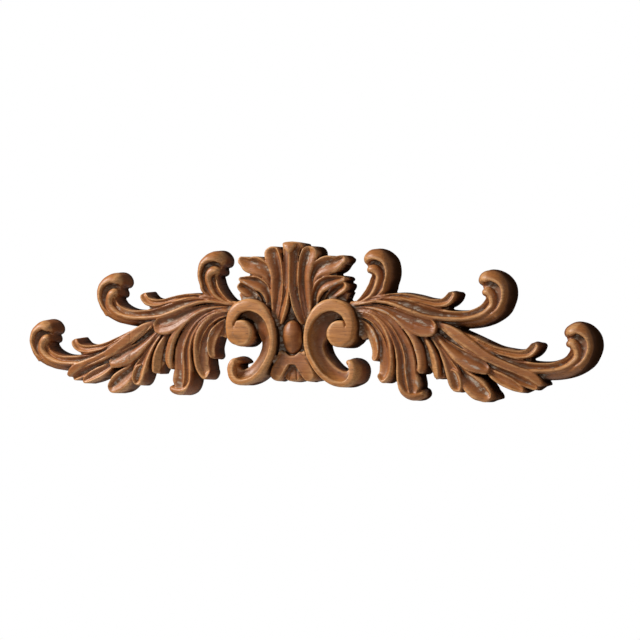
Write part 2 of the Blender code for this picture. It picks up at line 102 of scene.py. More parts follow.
class Cut(Enum):
    """Profiles from a stroke's right edge to its left edge, as (share of the width, depth in millimetres)."""

    ROUND = ((0, 4), (0.08, 2.2), (0.2, 0.9), (0.5, 0), (0.8, 0.9), (0.92, 2.2), (1, 4))
    DOME = (
        (0, 8), (0.1, 4.6), (0.25, 1.8), (0.4, 0.4), (0.5, 0), (0.6, 0.4), (0.75, 1.8), (0.9, 4.6), (1, 8))
    FLAT = ((0, 1.6), (0.06, 0.4), (0.15, 0), (0.85, 0), (0.94, 0.4), (1, 1.6))
    RIDGE = ((0, 5), (0.2, 2.8), (0.42, 0.4), (0.5, 0), (0.58, 0.4), (0.8, 2.8), (1, 5))
    SCOOP = (
        (0, 1.4), (0.06, 0.1), (0.14, 0.2), (0.3, 2.6), (0.5, 4.2), (0.7, 3), (0.86, 0.3), (0.94, 0.1),
        (1, 1.4))
    HOOK = (
        (0, 2.4), (0.1, 0.5), (0.2, 0.3), (0.4, 2.6), (0.6, 4), (0.78, 3.2), (0.9, 0.5), (0.96, 0.2),
        (1, 1.2))
    CHANNEL = ((0, 3.6), (0.1, 3.8), (0.3, 4.8), (0.5, 4.6), (0.7, 3.2), (0.88, 0.9), (0.95, 0.2), (1, 1))
    OPEN_LEAF = (
        (0, 1.8), (0.05, 0.4), (0.1, 0.2), (0.2, 0.9), (0.34, 2.6), (0.44, 3.4), (0.49, 2.7), (0.53, 4.4),
        (0.66, 6), (0.8, 5.6), (0.9, 4.2), (0.96, 1.6), (1, 1.6))
    POINTED_LEAF = (
        (0, 2.6), (0.06, 0.8), (0.16, 0.3), (0.3, 1.6), (0.46, 4.4), (0.56, 6), (0.6, 4.9), (0.64, 6.4),
        (0.76, 5.6), (0.85, 1.4), (0.9, 0.1), (0.95, 0.3), (1, 2))
    SWOLLEN_LEAF = (
        (0, 3), (0.06, 1), (0.18, 0), (0.38, 0.2), (0.56, 2), (0.7, 4.8), (0.82, 5.6), (0.92, 4.4),
        (1, 4.8))
    EYED_LEAF = (
        (0, 2), (0.08, 0.4), (0.2, 0.8), (0.4, 3.4), (0.55, 4.8), (0.72, 3.6), (0.88, 1.2), (1, 2.2))
    CROWN_LEAF = (
        (0, 2.6), (0.08, 1.2), (0.2, 1.2), (0.36, 2.6), (0.52, 5.2), (0.66, 6.8), (0.78, 6.2), (0.88, 2.6),
        (0.93, 0.3), (0.97, 0.1), (1, 1.4))
    LEAN_WEST = (
        (0, 5.4), (0.12, 4.8), (0.4, 4.2), (0.62, 2.8), (0.78, 0.9), (0.87, 0.1), (0.94, 0.4), (1, 2.6))
    EAST_RIM = (
        (0, 8.4), (0.16, 7.6), (0.34, 6.6), (0.48, 6.2), (0.6, 5.6), (0.68, 3.4), (0.75, 0.9), (0.84, 0),
        (0.92, 0.4), (0.97, 1.4), (1, 2.6))
    TWO_FLUTES = (
        (0, 2), (0.05, 0.3), (0.09, 0.2), (0.15, 2.2), (0.26, 5), (0.37, 4.8), (0.45, 1.5), (0.475, 1.3),
        (0.51, 3.8), (0.62, 5.4), (0.8, 4.6), (0.92, 3.6), (1, 5))
    MOUND = ((0, 2.2), (0.1, 0.6), (0.3, 0), (0.6, 0.3), (0.84, 1.6), (1, 4.4))
    FOOT = ((0, 6.4), (0.12, 3.4), (0.3, 1), (0.45, 0.1), (0.6, 0.1), (0.75, 1.4), (0.9, 4), (1, 6.4))
    RAISED_EAST = ((0, 6.4), (0.2, 5), (0.42, 2.2), (0.58, 0.3), (0.72, 0), (0.88, 1.2), (1, 4))
    SPINE = ((0, 3.4), (0.1, 1.6), (0.3, 0.9), (0.5, 0.7), (0.72, 0.2), (0.87, 0), (0.95, 0.5), (1, 2.2))
    CURL_RIM = ((0, 15), (0.1, 9.6), (0.25, 5.2), (0.45, 2), (0.66, 0.5), (0.84, 0), (0.93, 0.3), (1, 2.2))
    THUMB = ((0, 5.4), (0.1, 3.2), (0.3, 1), (0.5, 0.1), (0.62, 0), (0.8, 0.7), (0.92, 2.2), (1, 4))
    COVE = (
        (0, 1.5), (0.08, 4.4), (0.2, 8.2), (0.36, 11.6), (0.55, 14), (0.75, 15.4), (0.93, 15.8), (1, 17))
    SCROLL_RIM = ((0, 1.2), (0.05, 0.2), (0.14, 0), (0.5, 0.1), (0.74, 0.6), (0.9, 2), (1, 4.4))
    SCROLL_EYE = ((0, 3.2), (0.06, 1.2), (0.14, 0.4), (0.3, 0), (0.72, 0), (0.85, 0.6), (0.94, 2.4), (1, 5))
    RIB = (
        (0, 6.4), (0.06, 7.6), (0.14, 8.2), (0.25, 7.8), (0.35, 5.8), (0.42, 2.8), (0.47, 0.5), (0.5, 0),
        (0.53, 0.5), (0.58, 2.8), (0.65, 5.8), (0.75, 7.8), (0.86, 8.2), (0.94, 7.6), (1, 6.4))
    ARM = ((0, 2.2), (0.07, 0.5), (0.16, 0), (0.26, 0.5), (0.5, 2.6), (0.8, 4.8), (1, 6.4))

    def depths(self, places: np.ndarray) -> np.ndarray:
        """Rounds the profile a little and reads it.

        Args:
            places: places across the stroke, from 0 at its right edge to 1 at its left.

        Returns:
            The depth below the stroke's height at each place.
        """
        known = np.array(self.value)
        fine = np.linspace(0, 1, 161)
        depth = np.interp(fine, known[:, 0], known[:, 1])
        kernel = np.array((1, 2, 3, 2, 1)) / 9.0
        depth[2:-2] = np.convolve(depth, kernel, mode="valid")
        return np.interp(places, fine, depth)


@dataclass(frozen=True)
class Draft:
    """How much further out a wall stands at the back than at the front, on each side of the stroke."""

    outward: float = 6.0
    inward: float = 1.5
    upright: float = 2.0


@dataclass(frozen=True)
class Stroke:
    """One carved form, drawn for the right half and mirrored unless it stands in the middle.

    Its ends are rounded over tip_round and root_round, its profile flattens out over closing before the tip,
    and its face falls away at a rounded end by fall.
    """

    name: str
    stations: Stations
    cut: Cut
    tip_round: float = 0.0
    closing: float = 0.0
    root_round: float = 0.0
    fall: float = 1.6
    mirrored: bool = True
    draft: Draft = Draft()
    step: float = 1.1
    back: float = 4.0

    def line(self) -> np.ndarray:
        """Draws a smooth curve through the stations.

        Returns:
            The centre line, as rows of x, z, half width, height and length so far.
        """
        known = np.array((self.stations[0],) + self.stations + (self.stations[-1],))
        rows = []
        for i in range(1, len(known) - 2):
            before, start, end, after = known[i - 1:i + 3]
            pieces = max(2, math.ceil(math.dist(start[:2], end[:2]) / self.step))
            s = (np.arange(pieces) / pieces)[:, None]
            rise, fall = (end - before) / 2, (after - start) / 2
            rows.append((2 * s ** 3 - 3 * s ** 2 + 1) * start + (s ** 3 - 2 * s ** 2 + s) * rise
                        + (3 * s ** 2 - 2 * s ** 3) * end + (s ** 3 - s ** 2) * fall)
        points = np.vstack(rows + [known[-1:]])
        lengths = np.hypot(*np.diff(points[:, :2], axis=0).T)
        return np.column_stack((points, np.concatenate(([0.0], np.cumsum(lengths)))))

    def shaped(self, grid: np.ndarray, side: int) -> np.ndarray:
        """Shapes a flat block into the stroke.

        Args:
            grid: the block's corners: x from -1 at the root to 1 at the tip, y across, and z 1 on the face
                and 0 behind.
            side: 1 for the right half, -1 for the left.

        Returns:
            The corners in the frame, in metres.
        """
        line = self.line()
        place = (grid[:, 0] + 1) / 2 * (len(line) - 1)
        index = np.arange(len(line))
        x, z, half, height, so_far = (np.interp(place, index, column) for column in line.T)
        tangent = np.gradient(line[:, :2], axis=0)
        tangent /= np.maximum(np.hypot(*tangent.T), 1e-9)[:, None]
        run_x, run_z = (np.interp(place, index, column) for column in tangent.T)
        across = grid[:, 1]
        face = grid[:, 2] > 0.5
        to_tip = line[-1, 4] - so_far
        tip, root = self.nearness(to_tip, self.tip_round), self.nearness(so_far, self.root_round)
        for end in (tip, root):
            half = half * np.sqrt(np.maximum(LEAST_WIDTH ** 2, 1 - end ** 2))
        fullness = np.minimum(1.0, 0.25 + 0.85 * half / line[:, 2].max())
        drop = self.cut.depths((across + 1) / 2) * fullness
        if self.closing:
            open_still = np.clip((to_tip - 1.6) / self.closing, 0, 1)
            drop = drop * open_still * (2 - open_still)
        drop = drop + self.fall * (self.nearness(to_tip, self.tip_round and 1.5 * self.fall) ** 2
                                   + self.nearness(so_far, self.root_round and 1.5 * self.fall) ** 2)
        out_x = (tip - root) * run_x - across * run_z
        out_z = (tip - root) * run_z + across * run_x
        slope = np.where(face, 0.0, 1.0)
        sideways = np.where((out_x > 0) & self.mirrored, self.draft.outward, self.draft.inward)
        x = x + slope * out_x * sideways - run_z * across * half
        z = z + slope * out_z * self.draft.upright + run_x * across * half
        y = np.where(face, drop - height, self.back)
        return np.column_stack((side * x, y, z)) * MM

    @staticmethod
    def nearness(distance: np.ndarray, reach: float) -> np.ndarray:
        """1 at an end and 0 from its reach on, or 0 everywhere where there is no reach."""
        return np.clip(1 - distance / reach, 0, 1) if reach else np.zeros_like(distance)

    def block(self, side: int) -> bpy.types.Object:
        """Extrudes a gridded block once and shapes it into the stroke.

        Args:
            side: 1 for the right half, -1 for the left.

        Returns:
            The block.
        """
        rows = len(self.line()) - 1
        columns = max(6, math.ceil(2 * max(station[2] for station in self.stations) / COLUMN))
        bpy.ops.object.select_all(action="DESELECT")
        bpy.ops.mesh.primitive_grid_add(x_subdivisions=rows, y_subdivisions=columns, size=2)
        block = bpy.context.object
        bpy.ops.object.mode_set(mode="EDIT")
        bpy.ops.mesh.select_all(action="SELECT")
        bpy.ops.mesh.extrude_region_move(TRANSFORM_OT_translate={"value": (0, 0, 1)})
        bpy.ops.object.mode_set(mode="OBJECT")
        corners = np.empty(len(block.data.vertices) * 3)
        block.data.vertices.foreach_get("co", corners)
        shaped = self.shaped(corners.reshape(-1, 3), side)
        block.data.vertices.foreach_set("co", shaped.ravel())
        return block

    def blocks(self) -> list[bpy.types.Object]:
        """The stroke's blocks: one in the middle, or one on each side."""
        return [self.block(side) for side in ((1, -1) if self.mirrored else (1,))]


@dataclass(frozen=True)
class Score:
    """A thin cut along a line of (x, z) points, or a raised thread where its depth is below nought."""

    points: Line
    half: float = 1.3
    depth: float = 1.6
    sides: tuple[int, ...] = (1, -1)

    def reach(self, at: np.ndarray, side: int) -> np.ndarray:
        """Measures how near points lie to the line.

        Args:
            at: points in millimetres.
            side: 1 for the line itself, -1 for its mirror image.

        Returns:
            For each point, 1 on the line and 0 from its edge on, fading at both ends.
        """
        place = at[:, (0, 2)] * (side, 1)
        knots = np.array(self.points)
        low, high = knots.min(axis=0) - self.half, knots.max(axis=0) + self.half
        near = np.flatnonzero(((place > low) & (place < high)).all(axis=1))
        best = np.zeros(len(at))
        lengths = np.hypot(*np.diff(knots, axis=0).T)
        total = lengths.sum()
        for i, length in enumerate(lengths):
            run = (knots[i + 1] - knots[i]) / length
            along = np.clip((place[near] - knots[i]) @ run, 0, length)
            apart = np.hypot(*(place[near] - knots[i] - along[:, None] * run).T)
            done = lengths[:i].sum() + along
            fade = np.clip(np.minimum(done, total - done) / (0.18 * total) + 0.25, 0, 1)
            best[near] = np.maximum(best[near], np.clip(1 - (apart / self.half) ** 2, 0, 1) * fade)
        return best

    def press(self, at: np.ndarray, front: np.ndarray) -> np.ndarray:
        """How far each point moves back, in millimetres."""
        return sum(self.reach(at, side) for side in self.sides) ** 1.3 * self.depth * front


# The sub-assemblies of the carving


@dataclass(frozen=True)
class Curl:
    """The head of a tendril: a rolled rim, the thumb coiled inside it and the hollow between them."""

    step: tuple[float, float] = (0, 0)
    lean: float = 6.8
    rim: Stations = (
        (278.8, 23, 4, 35.5), (280.8, 33.5, 4.2, 36.2), (278.6, 44.5, 5, 36.5), (271.8, 52.2, 6.2, 36.5),
        (262.4, 56.2, 6.7, 36), (254.4, 55, 6.9, 35), (249.6, 50, 5.8, 32.5), (249.8, 44.4, 3.2, 28.5))
    thumb: Stations = (
        (265, 18, 5.6, 34), (265.6, 26, 5.2, 34.5), (263.4, 32.6, 5.4, 35), (258.8, 36.2, 5.6, 35),
        (254.6, 35, 4.4, 34), (253, 31.4, 2.8, 31.5))
    floor: Stations = (
        (266, 6, 4, 32), (271, 14, 5, 31.5), (273.5, 25, 6, 30.5), (270, 37, 8, 28), (262, 43, 8, 25),
        (251.2, 41, 4.5, 22))
    notch: Stations = ((265, 26, 5, 27), (259, 28, 4.6, 27), (254.6, 28.6, 3.6, 26))

    def strokes(self, name: str, rim_from: Stations, thumb_from: Stations) -> list[Stroke]:
        """The curl's strokes.

        Args:
            name: the tendril's name.
            rim_from: stations of the stem's lower wall, which runs into the rim.
            thumb_from: stations of the stem's ridge, which runs into the thumb.

        Returns:
            The rim, the thumb and the floor between them.
        """
        return [
            Stroke(f"{name}_rim", rim_from + moved(self.rim, self.step), Cut.CURL_RIM, 5.0, fall=6.0,
                   draft=Draft(self.lean)),
            Stroke(f"{name}_thumb", thumb_from + moved(self.thumb, self.step), Cut.THUMB, 4.0, fall=4.0),
            Stroke(f"{name}_floor", moved(self.floor, self.step), Cut.FLAT),
            Stroke(f"{name}_notch", moved(self.notch, self.step), Cut.SCOOP),
        ]


@dataclass(frozen=True)
class Tendril:
    """A channelled stem with a curl at its end and a small hook above it."""

    name: str
    step: tuple[float, float]
    hook_root: Stations
    channel_root: Stations
    ridge_root: Stations
    hook: Stations = (
        (181, 23.2, 4.4, 34.5), (194, 21.6, 4.8, 34.5), (204.6, 23.4, 5.6, 34.5), (211.2, 29, 5.8, 34.2),
        (214.4, 35.4, 4.8, 33))
    web: Stations = ((184, 16.6, 4, 26), (196, 16.4, 4, 25), (207.6, 18.4, 3.4, 24))
    channel: Stations = (
        (190, 10.2, 7.2, 34), (210, 6.4, 6, 33.5), (230, 6.2, 5.6, 33), (243.4, 9.6, 5.6, 32.2),
        (253.6, 15.8, 5.3, 31.2), (258.6, 23, 4.6, 30), (261, 31, 3.2, 28))
    ridge: Stations = (
        (210, 1.8, 2.8, 36), (230, 1.9, 2.9, 35.4), (245, 4.6, 3.6, 35), (256.5, 9.6, 4.8, 34.6))
    wall: Stations = (
        (195, -3, 3.5, 26), (225, -4.8, 3.8, 28), (245, -2.6, 4.3, 30), (260.4, 2.8, 4.7, 32.5),
        (272.6, 11.6, 4.6, 34.5))
    curl: Curl = Curl()

    def strokes(self) -> list[Stroke]:
        """Draws the tendril.

        Returns:
            The hook, the channelled stem and the curl.
        """
        ridge = self.ridge_root + moved(self.ridge, self.step)
        return [
            Stroke(f"{self.name}_hook", self.hook_root + moved(self.hook, self.step), Cut.HOOK, 2.2,
                   fall=3.0),
            Stroke(f"{self.name}_web", moved(self.web, self.step), Cut.FLAT),
            Stroke(f"{self.name}_channel", self.channel_root + moved(self.channel, self.step), Cut.CHANNEL),
        ] + self.curl.strokes(self.name, moved(self.wall, self.step), ridge)


@dataclass(frozen=True)
class Tendrils:
    """The three curls on each side: the upper one on its stalk, the middle and outer ones on their stems."""

    outer_step: tuple[float, float] = (104.4, -63.2)
    upper: Curl = Curl(
        lean=6.0,
        rim=(
            (128, 46, 3, 35.5), (130.8, 56, 3.2, 36.2), (130.6, 66.5, 3.8, 36.5), (126.6, 76.6, 5.2, 36.5),
            (117.4, 83.2, 6.6, 36.2), (107, 84, 6.9, 35.2), (100.2, 78.6, 5.9, 32.5),
            (99.6, 71.2, 3.8, 28.5)),
        thumb=(
            (117.4, 48, 4.4, 34), (119, 55, 4.6, 34.5), (116.8, 61.6, 5.2, 35), (111.6, 65.4, 5.6, 35),
            (106, 64.4, 4.6, 34), (103.4, 60.2, 3, 31.5)),
        floor=(
            (119, 32, 3.5, 31), (124, 42, 4.5, 30.5), (125.6, 53, 5.5, 29.5), (122, 65, 8, 26),
            (113, 70.5, 8, 24), (101, 67.6, 4.5, 22)),
        notch=((117, 53, 4.6, 27), (111.4, 55.4, 4.4, 27), (106, 56.2, 3.4, 26)))
    outer: Curl = Curl(
        (104.4, -63.2), 8.2,
        rim=(
            (279.2, 23, 4, 35.5), (281.2, 33.5, 4.2, 36.2), (278.6, 44.5, 5, 36.5), (272, 51.8, 6.2, 36.5),
            (263.8, 54.8, 6.6, 36), (256.4, 52.6, 6.7, 35), (251.8, 47.8, 5.6, 32.5),
            (251.6, 43.2, 3.2, 28.5)))
    upper_stalk: Stations = (
        (82, 19.5, 1.4, 26), (98, 24.2, 2, 29), (112, 27.6, 2.6, 31.5), (121, 32.6, 3, 33.5),
        (126.4, 39, 3, 35))
    upper_inner: Stations = (
        (80, 19, 1.2, 27), (96, 24, 2.2, 31), (108, 31, 3.2, 33.2), (114, 39.4, 3.8, 33.8))
    upper_channel: Stations = (
        (79, 18, 1.6, 25), (91.6, 24.6, 2.8, 29), (101.6, 33.6, 4.2, 31.4), (108.2, 44, 4.6, 31.4),
        (110.6, 53, 4.2, 30), (111.8, 60, 3, 28))

    def strokes(self) -> list[Stroke]:
        """Draws the middle and the outer tendril on their stems.

        Returns:
            The strokes of all three curls.
        """
        middle = Tendril(
            "middle", (0, 0),
            hook_root=(
                (90, 22, 1.2, 27.5), (112, 28.4, 1.8, 32), (130, 30.6, 2.8, 34), (148, 30.6, 3.6, 35),
                (165, 27.4, 4.2, 35)),
            channel_root=(
                (82, 19.6, 1.2, 27), (100, 24.6, 2, 31), (120, 27.6, 3, 34), (142, 25.4, 4.2, 35.5),
                (160, 20.4, 5.6, 35.5), (176, 15, 7, 35)),
            ridge_root=(
                (80, 17.4, 1.1, 27), (98, 21.6, 1.5, 32), (115, 24, 1.9, 35), (130, 22.6, 2.2, 37),
                (145, 18, 2.5, 38.5), (160, 12.2, 2.7, 39.5), (175, 6.8, 2.8, 39), (190, 3.2, 2.8, 37.5)))
        outer = Tendril(
            "outer", self.outer_step,
            hook_root=(
                (226, -15.2, 2, 31), (240, -22.8, 3.4, 33), (256, -31.2, 4.4, 34), (270, -37, 4.6, 34.5)),
            channel_root=(
                (222, -15, 3, 31), (240, -26.6, 4.8, 33), (258, -37.6, 5.6, 34), (276, -46.4, 6.4, 34)),
            ridge_root=((300, -60.6, 2.2, 34),),
            curl=self.outer)
        return (self.upper.strokes("upper", self.upper_stalk, self.upper_inner)
                + [Stroke("upper_channel", self.upper_channel, Cut.CHANNEL)]
                + middle.strokes() + outer.strokes())

    def scores(self) -> list[Score]:
        """The fine cuts beside the hooks."""
        return [
            Score(((166, 23.6), (176, 21), (186, 17.8), (197, 14.6), (207, 12.8)), 1.6, 2.4),
            Score(((262, -37), (274, -42.8), (286, -46.4), (299, -48.8), (311, -50.4)), 1.6, 2.2),
            Score(((126, 29.6), (138, 31.6), (150, 30.6), (163, 27.4)), 1.9, 2.0),
            Score(((108, 25), (124, 27.6), (140, 26.8), (156, 23.8)), 1.6, -1.4),
        ]


@dataclass(frozen=True)
class Foliage:
    """The broad leaf between the tendrils, the strips that fall from it and the outer spray."""

    oval_leaf: Stations = (
        (84, 15.6, 1, 26.5), (98, 18.4, 1.3, 29.5), (113, 18.2, 2, 32), (130, 13.6, 4.4, 34.5),
        (148, 5, 7.8, 37), (162, -2.6, 10.4, 38.5), (174, -7.2, 12.2, 39), (184, -9, 11.6, 38.8),
        (195.4, -10.6, 11, 37.6))
    strip_one: Stations = (
        (80, 4, 1.4, 25), (95, -2, 3, 29), (102, -8.4, 5.2, 32), (108.4, -17, 6.4, 34),
        (112.4, -28, 6.2, 34.5), (113.8, -38, 5.2, 34.2), (112.4, -46, 4.4, 33.6), (109.2, -51, 3, 32.6))
    strip_two: Stations = (
        (78, 7, 1, 26), (91, 7.6, 1.6, 30), (103, 5.2, 3.4, 33), (113, -1, 5.6, 34.8),
        (121.5, -11, 7.2, 36.2), (126.8, -24.5, 9, 37), (128.6, -39, 10, 37), (128.4, -53, 10, 36.5),
        (126.8, -63.4, 9.6, 36), (123, -71.4, 8, 35.4), (117.8, -76, 5.8, 34.5))
    strip_two_thread: Stations = (
        (84, 4.8, 0.8, 27), (98, 3.4, 1, 31), (111, -3.6, 1.5, 32.8), (121, -15, 1.8, 33.6),
        (127.8, -29, 1.8, 33.8), (130, -42, 1.6, 33), (129.8, -52, 1, 30))
    strip_three: Stations = (
        (80, 10.6, 1, 27), (94, 12, 1.8, 31), (109, 10.8, 3.2, 34), (123, 4.8, 5, 35.5),
        (135.4, -5.6, 7, 36.5), (145.4, -20, 9.2, 37), (152, -36, 11.4, 37), (154.6, -52, 12.6, 36.8),
        (155, -66, 13.4, 36.5), (157, -80, 14.4, 36), (160.6, -96, 13, 35))
    strip_three_foot: Stations = (
        (144, -56, 1, 30), (143.6, -68, 2, 34.6), (145, -80, 3.4, 36.2), (150.6, -90.4, 4.8, 36.2),
        (160, -95.4, 5.4, 35.4), (169.4, -94.6, 5.6, 33.8), (175.6, -91.8, 4.6, 30.5),
        (178, -90.4, 3.4, 27))
    strip_four: Stations = (
        (82, 13.4, 0.9, 26.5), (94, 15.6, 1.1, 29.5), (106, 16.4, 1.4, 32), (120, 13.6, 2, 35),
        (135, 7.2, 2.4, 36.5), (147.6, -2.2, 2.8, 37.5), (158, -12.4, 3.6, 38), (166.4, -23, 4.8, 38),
        (172, -36.5, 5.4, 37.5), (174.8, -50, 5.2, 37), (174.4, -59, 4.6, 36.5), (171.8, -66.6, 2.8, 35))
    strip_five: Stations = (
        (163, -6, 2, 29), (172.4, -15, 2.8, 31.5), (180.4, -25, 3.6, 34), (187.4, -37, 4.9, 35.5),
        (191.8, -49, 5.8, 36), (193.8, -60, 5.8, 35.5), (195, -73, 5.2, 33.5))
    small_leaf: Stations = (
        (178, -8, 1.4, 29), (189, -21, 2.2, 31.5), (200.4, -36, 3.8, 33.5), (209.4, -51, 6.8, 35),
        (215.6, -64, 9.2, 36), (219, -77, 8.8, 35.5), (222, -89, 6.4, 34))
    small_leaf_curl: Stations = (
        (214, -61, 1.2, 35), (220.4, -64.2, 1.8, 36.5), (225, -71.4, 2.1, 37), (226.4, -79.6, 2, 36.5),
        (224.2, -87.4, 1.4, 34.5))
    swollen_leaf: Stations = (
        (182, -7, 1.6, 29), (195, -18.6, 2.6, 31.5), (208.4, -31.4, 5.8, 34.5), (222.4, -42.4, 9.2, 36.8),
        (236, -50.4, 11, 37.8), (247, -55.4, 10, 37.5), (255, -59, 7.6, 36.5), (262, -62, 5, 35))
    pointed_leaf: Stations = (
        (206, -38, 1.6, 29), (217, -52, 2.6, 31), (227.4, -66, 7.2, 33.5), (237.6, -77, 11.8, 35.5),
        (247.4, -85.2, 13.2, 36), (255.6, -91.4, 10.4, 35.5), (263.4, -97.6, 5.2, 34))
    spine: Stations = (
        (182, 3, 2, 29), (196, -4.2, 3.4, 32), (210, -11.2, 5.8, 35), (224, -20.6, 7.4, 37),
        (238, -30.6, 7.4, 38), (252, -40.2, 6.4, 38.5), (266, -48, 5.4, 38.5), (282, -54.8, 4.8, 38),
        (298, -60.8, 4.8, 37.5), (310, -65.2, 5.4, 37), (319.4, -71.2, 5.2, 36), (326.6, -79, 2.8, 34))
    flute: Stations = (
        (256, -52, 2, 30), (272, -60.4, 4.2, 32), (289, -67.6, 5.6, 32.5), (305, -74.8, 5.6, 32.5),
        (320.6, -82, 4, 31.5))
    bud: Stations = (
        (255, -57, 2.4, 29), (266, -65.6, 5.6, 33), (278.4, -72.6, 7.4, 34), (290, -78.2, 7, 34),
        (298.4, -82.8, 5, 33), (304.4, -87, 2.2, 31.5))

    def strokes(self) -> list[Stroke]:
        """Every leaf and strip."""
        return [
            Stroke("oval_leaf", self.oval_leaf, Cut.OPEN_LEAF, 12.0, closing=9.0),
            Stroke("strip_one", self.strip_one, Cut.LEAN_WEST, 3.0, fall=2.0),
            Stroke("strip_two", self.strip_two, Cut.EAST_RIM, 3.5, closing=7.0, fall=2.0),
            Stroke("strip_two_thread", self.strip_two_thread, Cut.RIDGE),
            Stroke("strip_three", self.strip_three, Cut.TWO_FLUTES, 14.0, draft=Draft(3.0)),
            Stroke("strip_three_foot", self.strip_three_foot, Cut.FOOT, 3.0, fall=3.0, draft=Draft(1.5)),
            Stroke("strip_four", self.strip_four, Cut.MOUND, 3.0, fall=2.4),
            Stroke("strip_five", self.strip_five, Cut.RAISED_EAST, 5.0, fall=2.4),
            Stroke("small_leaf", self.small_leaf, Cut.EYED_LEAF, 8.0, closing=5.0),
            Stroke("small_leaf_curl", self.small_leaf_curl, Cut.ROUND),
            Stroke("swollen_leaf", self.swollen_leaf, Cut.SWOLLEN_LEAF, 4.0, closing=10.0),
            Stroke("pointed_leaf", self.pointed_leaf, Cut.POINTED_LEAF, 5.0, closing=8.0, draft=Draft(8.5)),
            Stroke("spine", self.spine, Cut.SPINE, 2.0),
            Stroke("flute", self.flute, Cut.SCOOP, 4.0),
            Stroke("bud", self.bud, Cut.SCOOP, 3.0, closing=8.0),
        ]

    def scores(self) -> list[Score]:
        """The veins and the fine cuts that fan from the root."""
        return [
            Score(((194, -25), (205, -37), (215, -49), (224, -60), (232, -70)), 1.6, 2.6),
            Score(((199, -9), (209, -20), (222, -30.4), (236, -39.8), (250, -48)), 1.4, -1.3),
            Score(((201.6, -8), (211.4, -18.2), (224, -28.4), (238, -37.8), (251, -45.4)), 1.3, 1.8),
            Score(((196, -14), (205, -24), (218, -33), (232, -42)), 2.4, 1.8),
            Score(((86, 18), (98, 19.2), (110, 18.4), (122, 16.6)), 1.2, 1.8),
            Score(((86, 15), (98, 15.4), (110, 13.4), (121, 8.8)), 1.1, 1.8),
            Score(((86, 9.6), (96, 8.8), (106, 6.6), (115, 1.4)), 1.2, 1.8),
            Score(((88, 4), (97, 1.6), (106, -4.6), (114, -13)), 1.4, 2.0),
            Score(((262, -48.2), (278, -55.4), (294, -62), (307, -68.6)), 1.2, 1.0),
        ]


@dataclass(frozen=True)
class Scroll:
    """A C scroll: its rim, the cove inside it, its round eye and its rolled foot."""

    rim: Stations = (
        (74.6, -57.4, 2.8, 33), (78.6, -54.4, 4, 36), (83.2, -58.6, 4.6, 38), (84.6, -67.2, 4.6, 39),
        (80.8, -77, 4.6, 40), (71, -82.2, 3.8, 40.5), (57, -79.6, 3.6, 41), (44.4, -71.6, 3.6, 41.5),
        (34.4, -59.6, 3.6, 42), (27, -46, 3.4, 42), (23.2, -30, 3.2, 42), (24.2, -14, 3.6, 42),
        (30, 2, 4.8, 42), (40.6, 14.2, 6.8, 42), (54.6, 19.4, 7.8, 42), (67.8, 17.2, 7.8, 42),
        (77.8, 9.8, 7.6, 42), (82.4, -2, 6.8, 42), (82, -13, 7.2, 42), (78.2, -23, 8.4, 42),
        (69.6, -27.4, 7.2, 42))
    cove: Stations = (
        (75, 2.6, 2, 34), (64, 6.6, 4.5, 36), (52, 5, 8, 39), (42, -4, 11, 41), (36.6, -17, 11.2, 41.5),
        (34, -31, 8.6, 41.5), (36.8, -44, 8, 41.5), (43.8, -56, 8, 41), (54, -67, 8.4, 40.5),
        (66, -72.6, 7.6, 39.5), (75.6, -71, 6, 37.5), (79.6, -64.4, 4.2, 35))
    eye_middle: tuple[float, float] = (68.4, -17.6)
    eye_radius: float = 17.2
    eye_height: float = 42.2
    foot_stations: int = 6
    foot_draft: Draft = Draft(outward=9.6, inward=7.0)

    def strokes(self) -> list[Stroke]:
        """The scroll's forms."""
        return [
            Stroke("scroll_rim", self.rim, Cut.SCROLL_RIM, root_round=3.0, fall=4.0, draft=Draft(7.0)),
            Stroke("scroll_cove", self.cove, Cut.COVE, draft=Draft(4.5)),
            Stroke("scroll_eye", self.eye, Cut.SCROLL_EYE, self.eye_radius, root_round=self.eye_radius,
                   draft=Draft(7.0)),
            Stroke("scroll_foot", self.rim[:self.foot_stations], Cut.THUMB, root_round=3.0, fall=4.0,
                   draft=self.foot_draft),
        ]

    @property
    def eye(self) -> Stations:
        """Rounds the eye, from its top to its bottom.

        Returns:
            Its stations.
        """
        x, z = self.eye_middle
        radius, height = self.eye_radius, self.eye_height
        return ((x, z + radius, radius, height - 0.6), (x, z, radius, height),
                (x, z - radius, radius, height - 0.8))

    def scores(self) -> list[Score]:
        """The cusp where the rim winds into the eye."""
        return [Score(((64, 3.4), (70, 2.6), (74.4, -0.4), (76.6, -4.6), (77, -9)), 1.6, 3.0)]


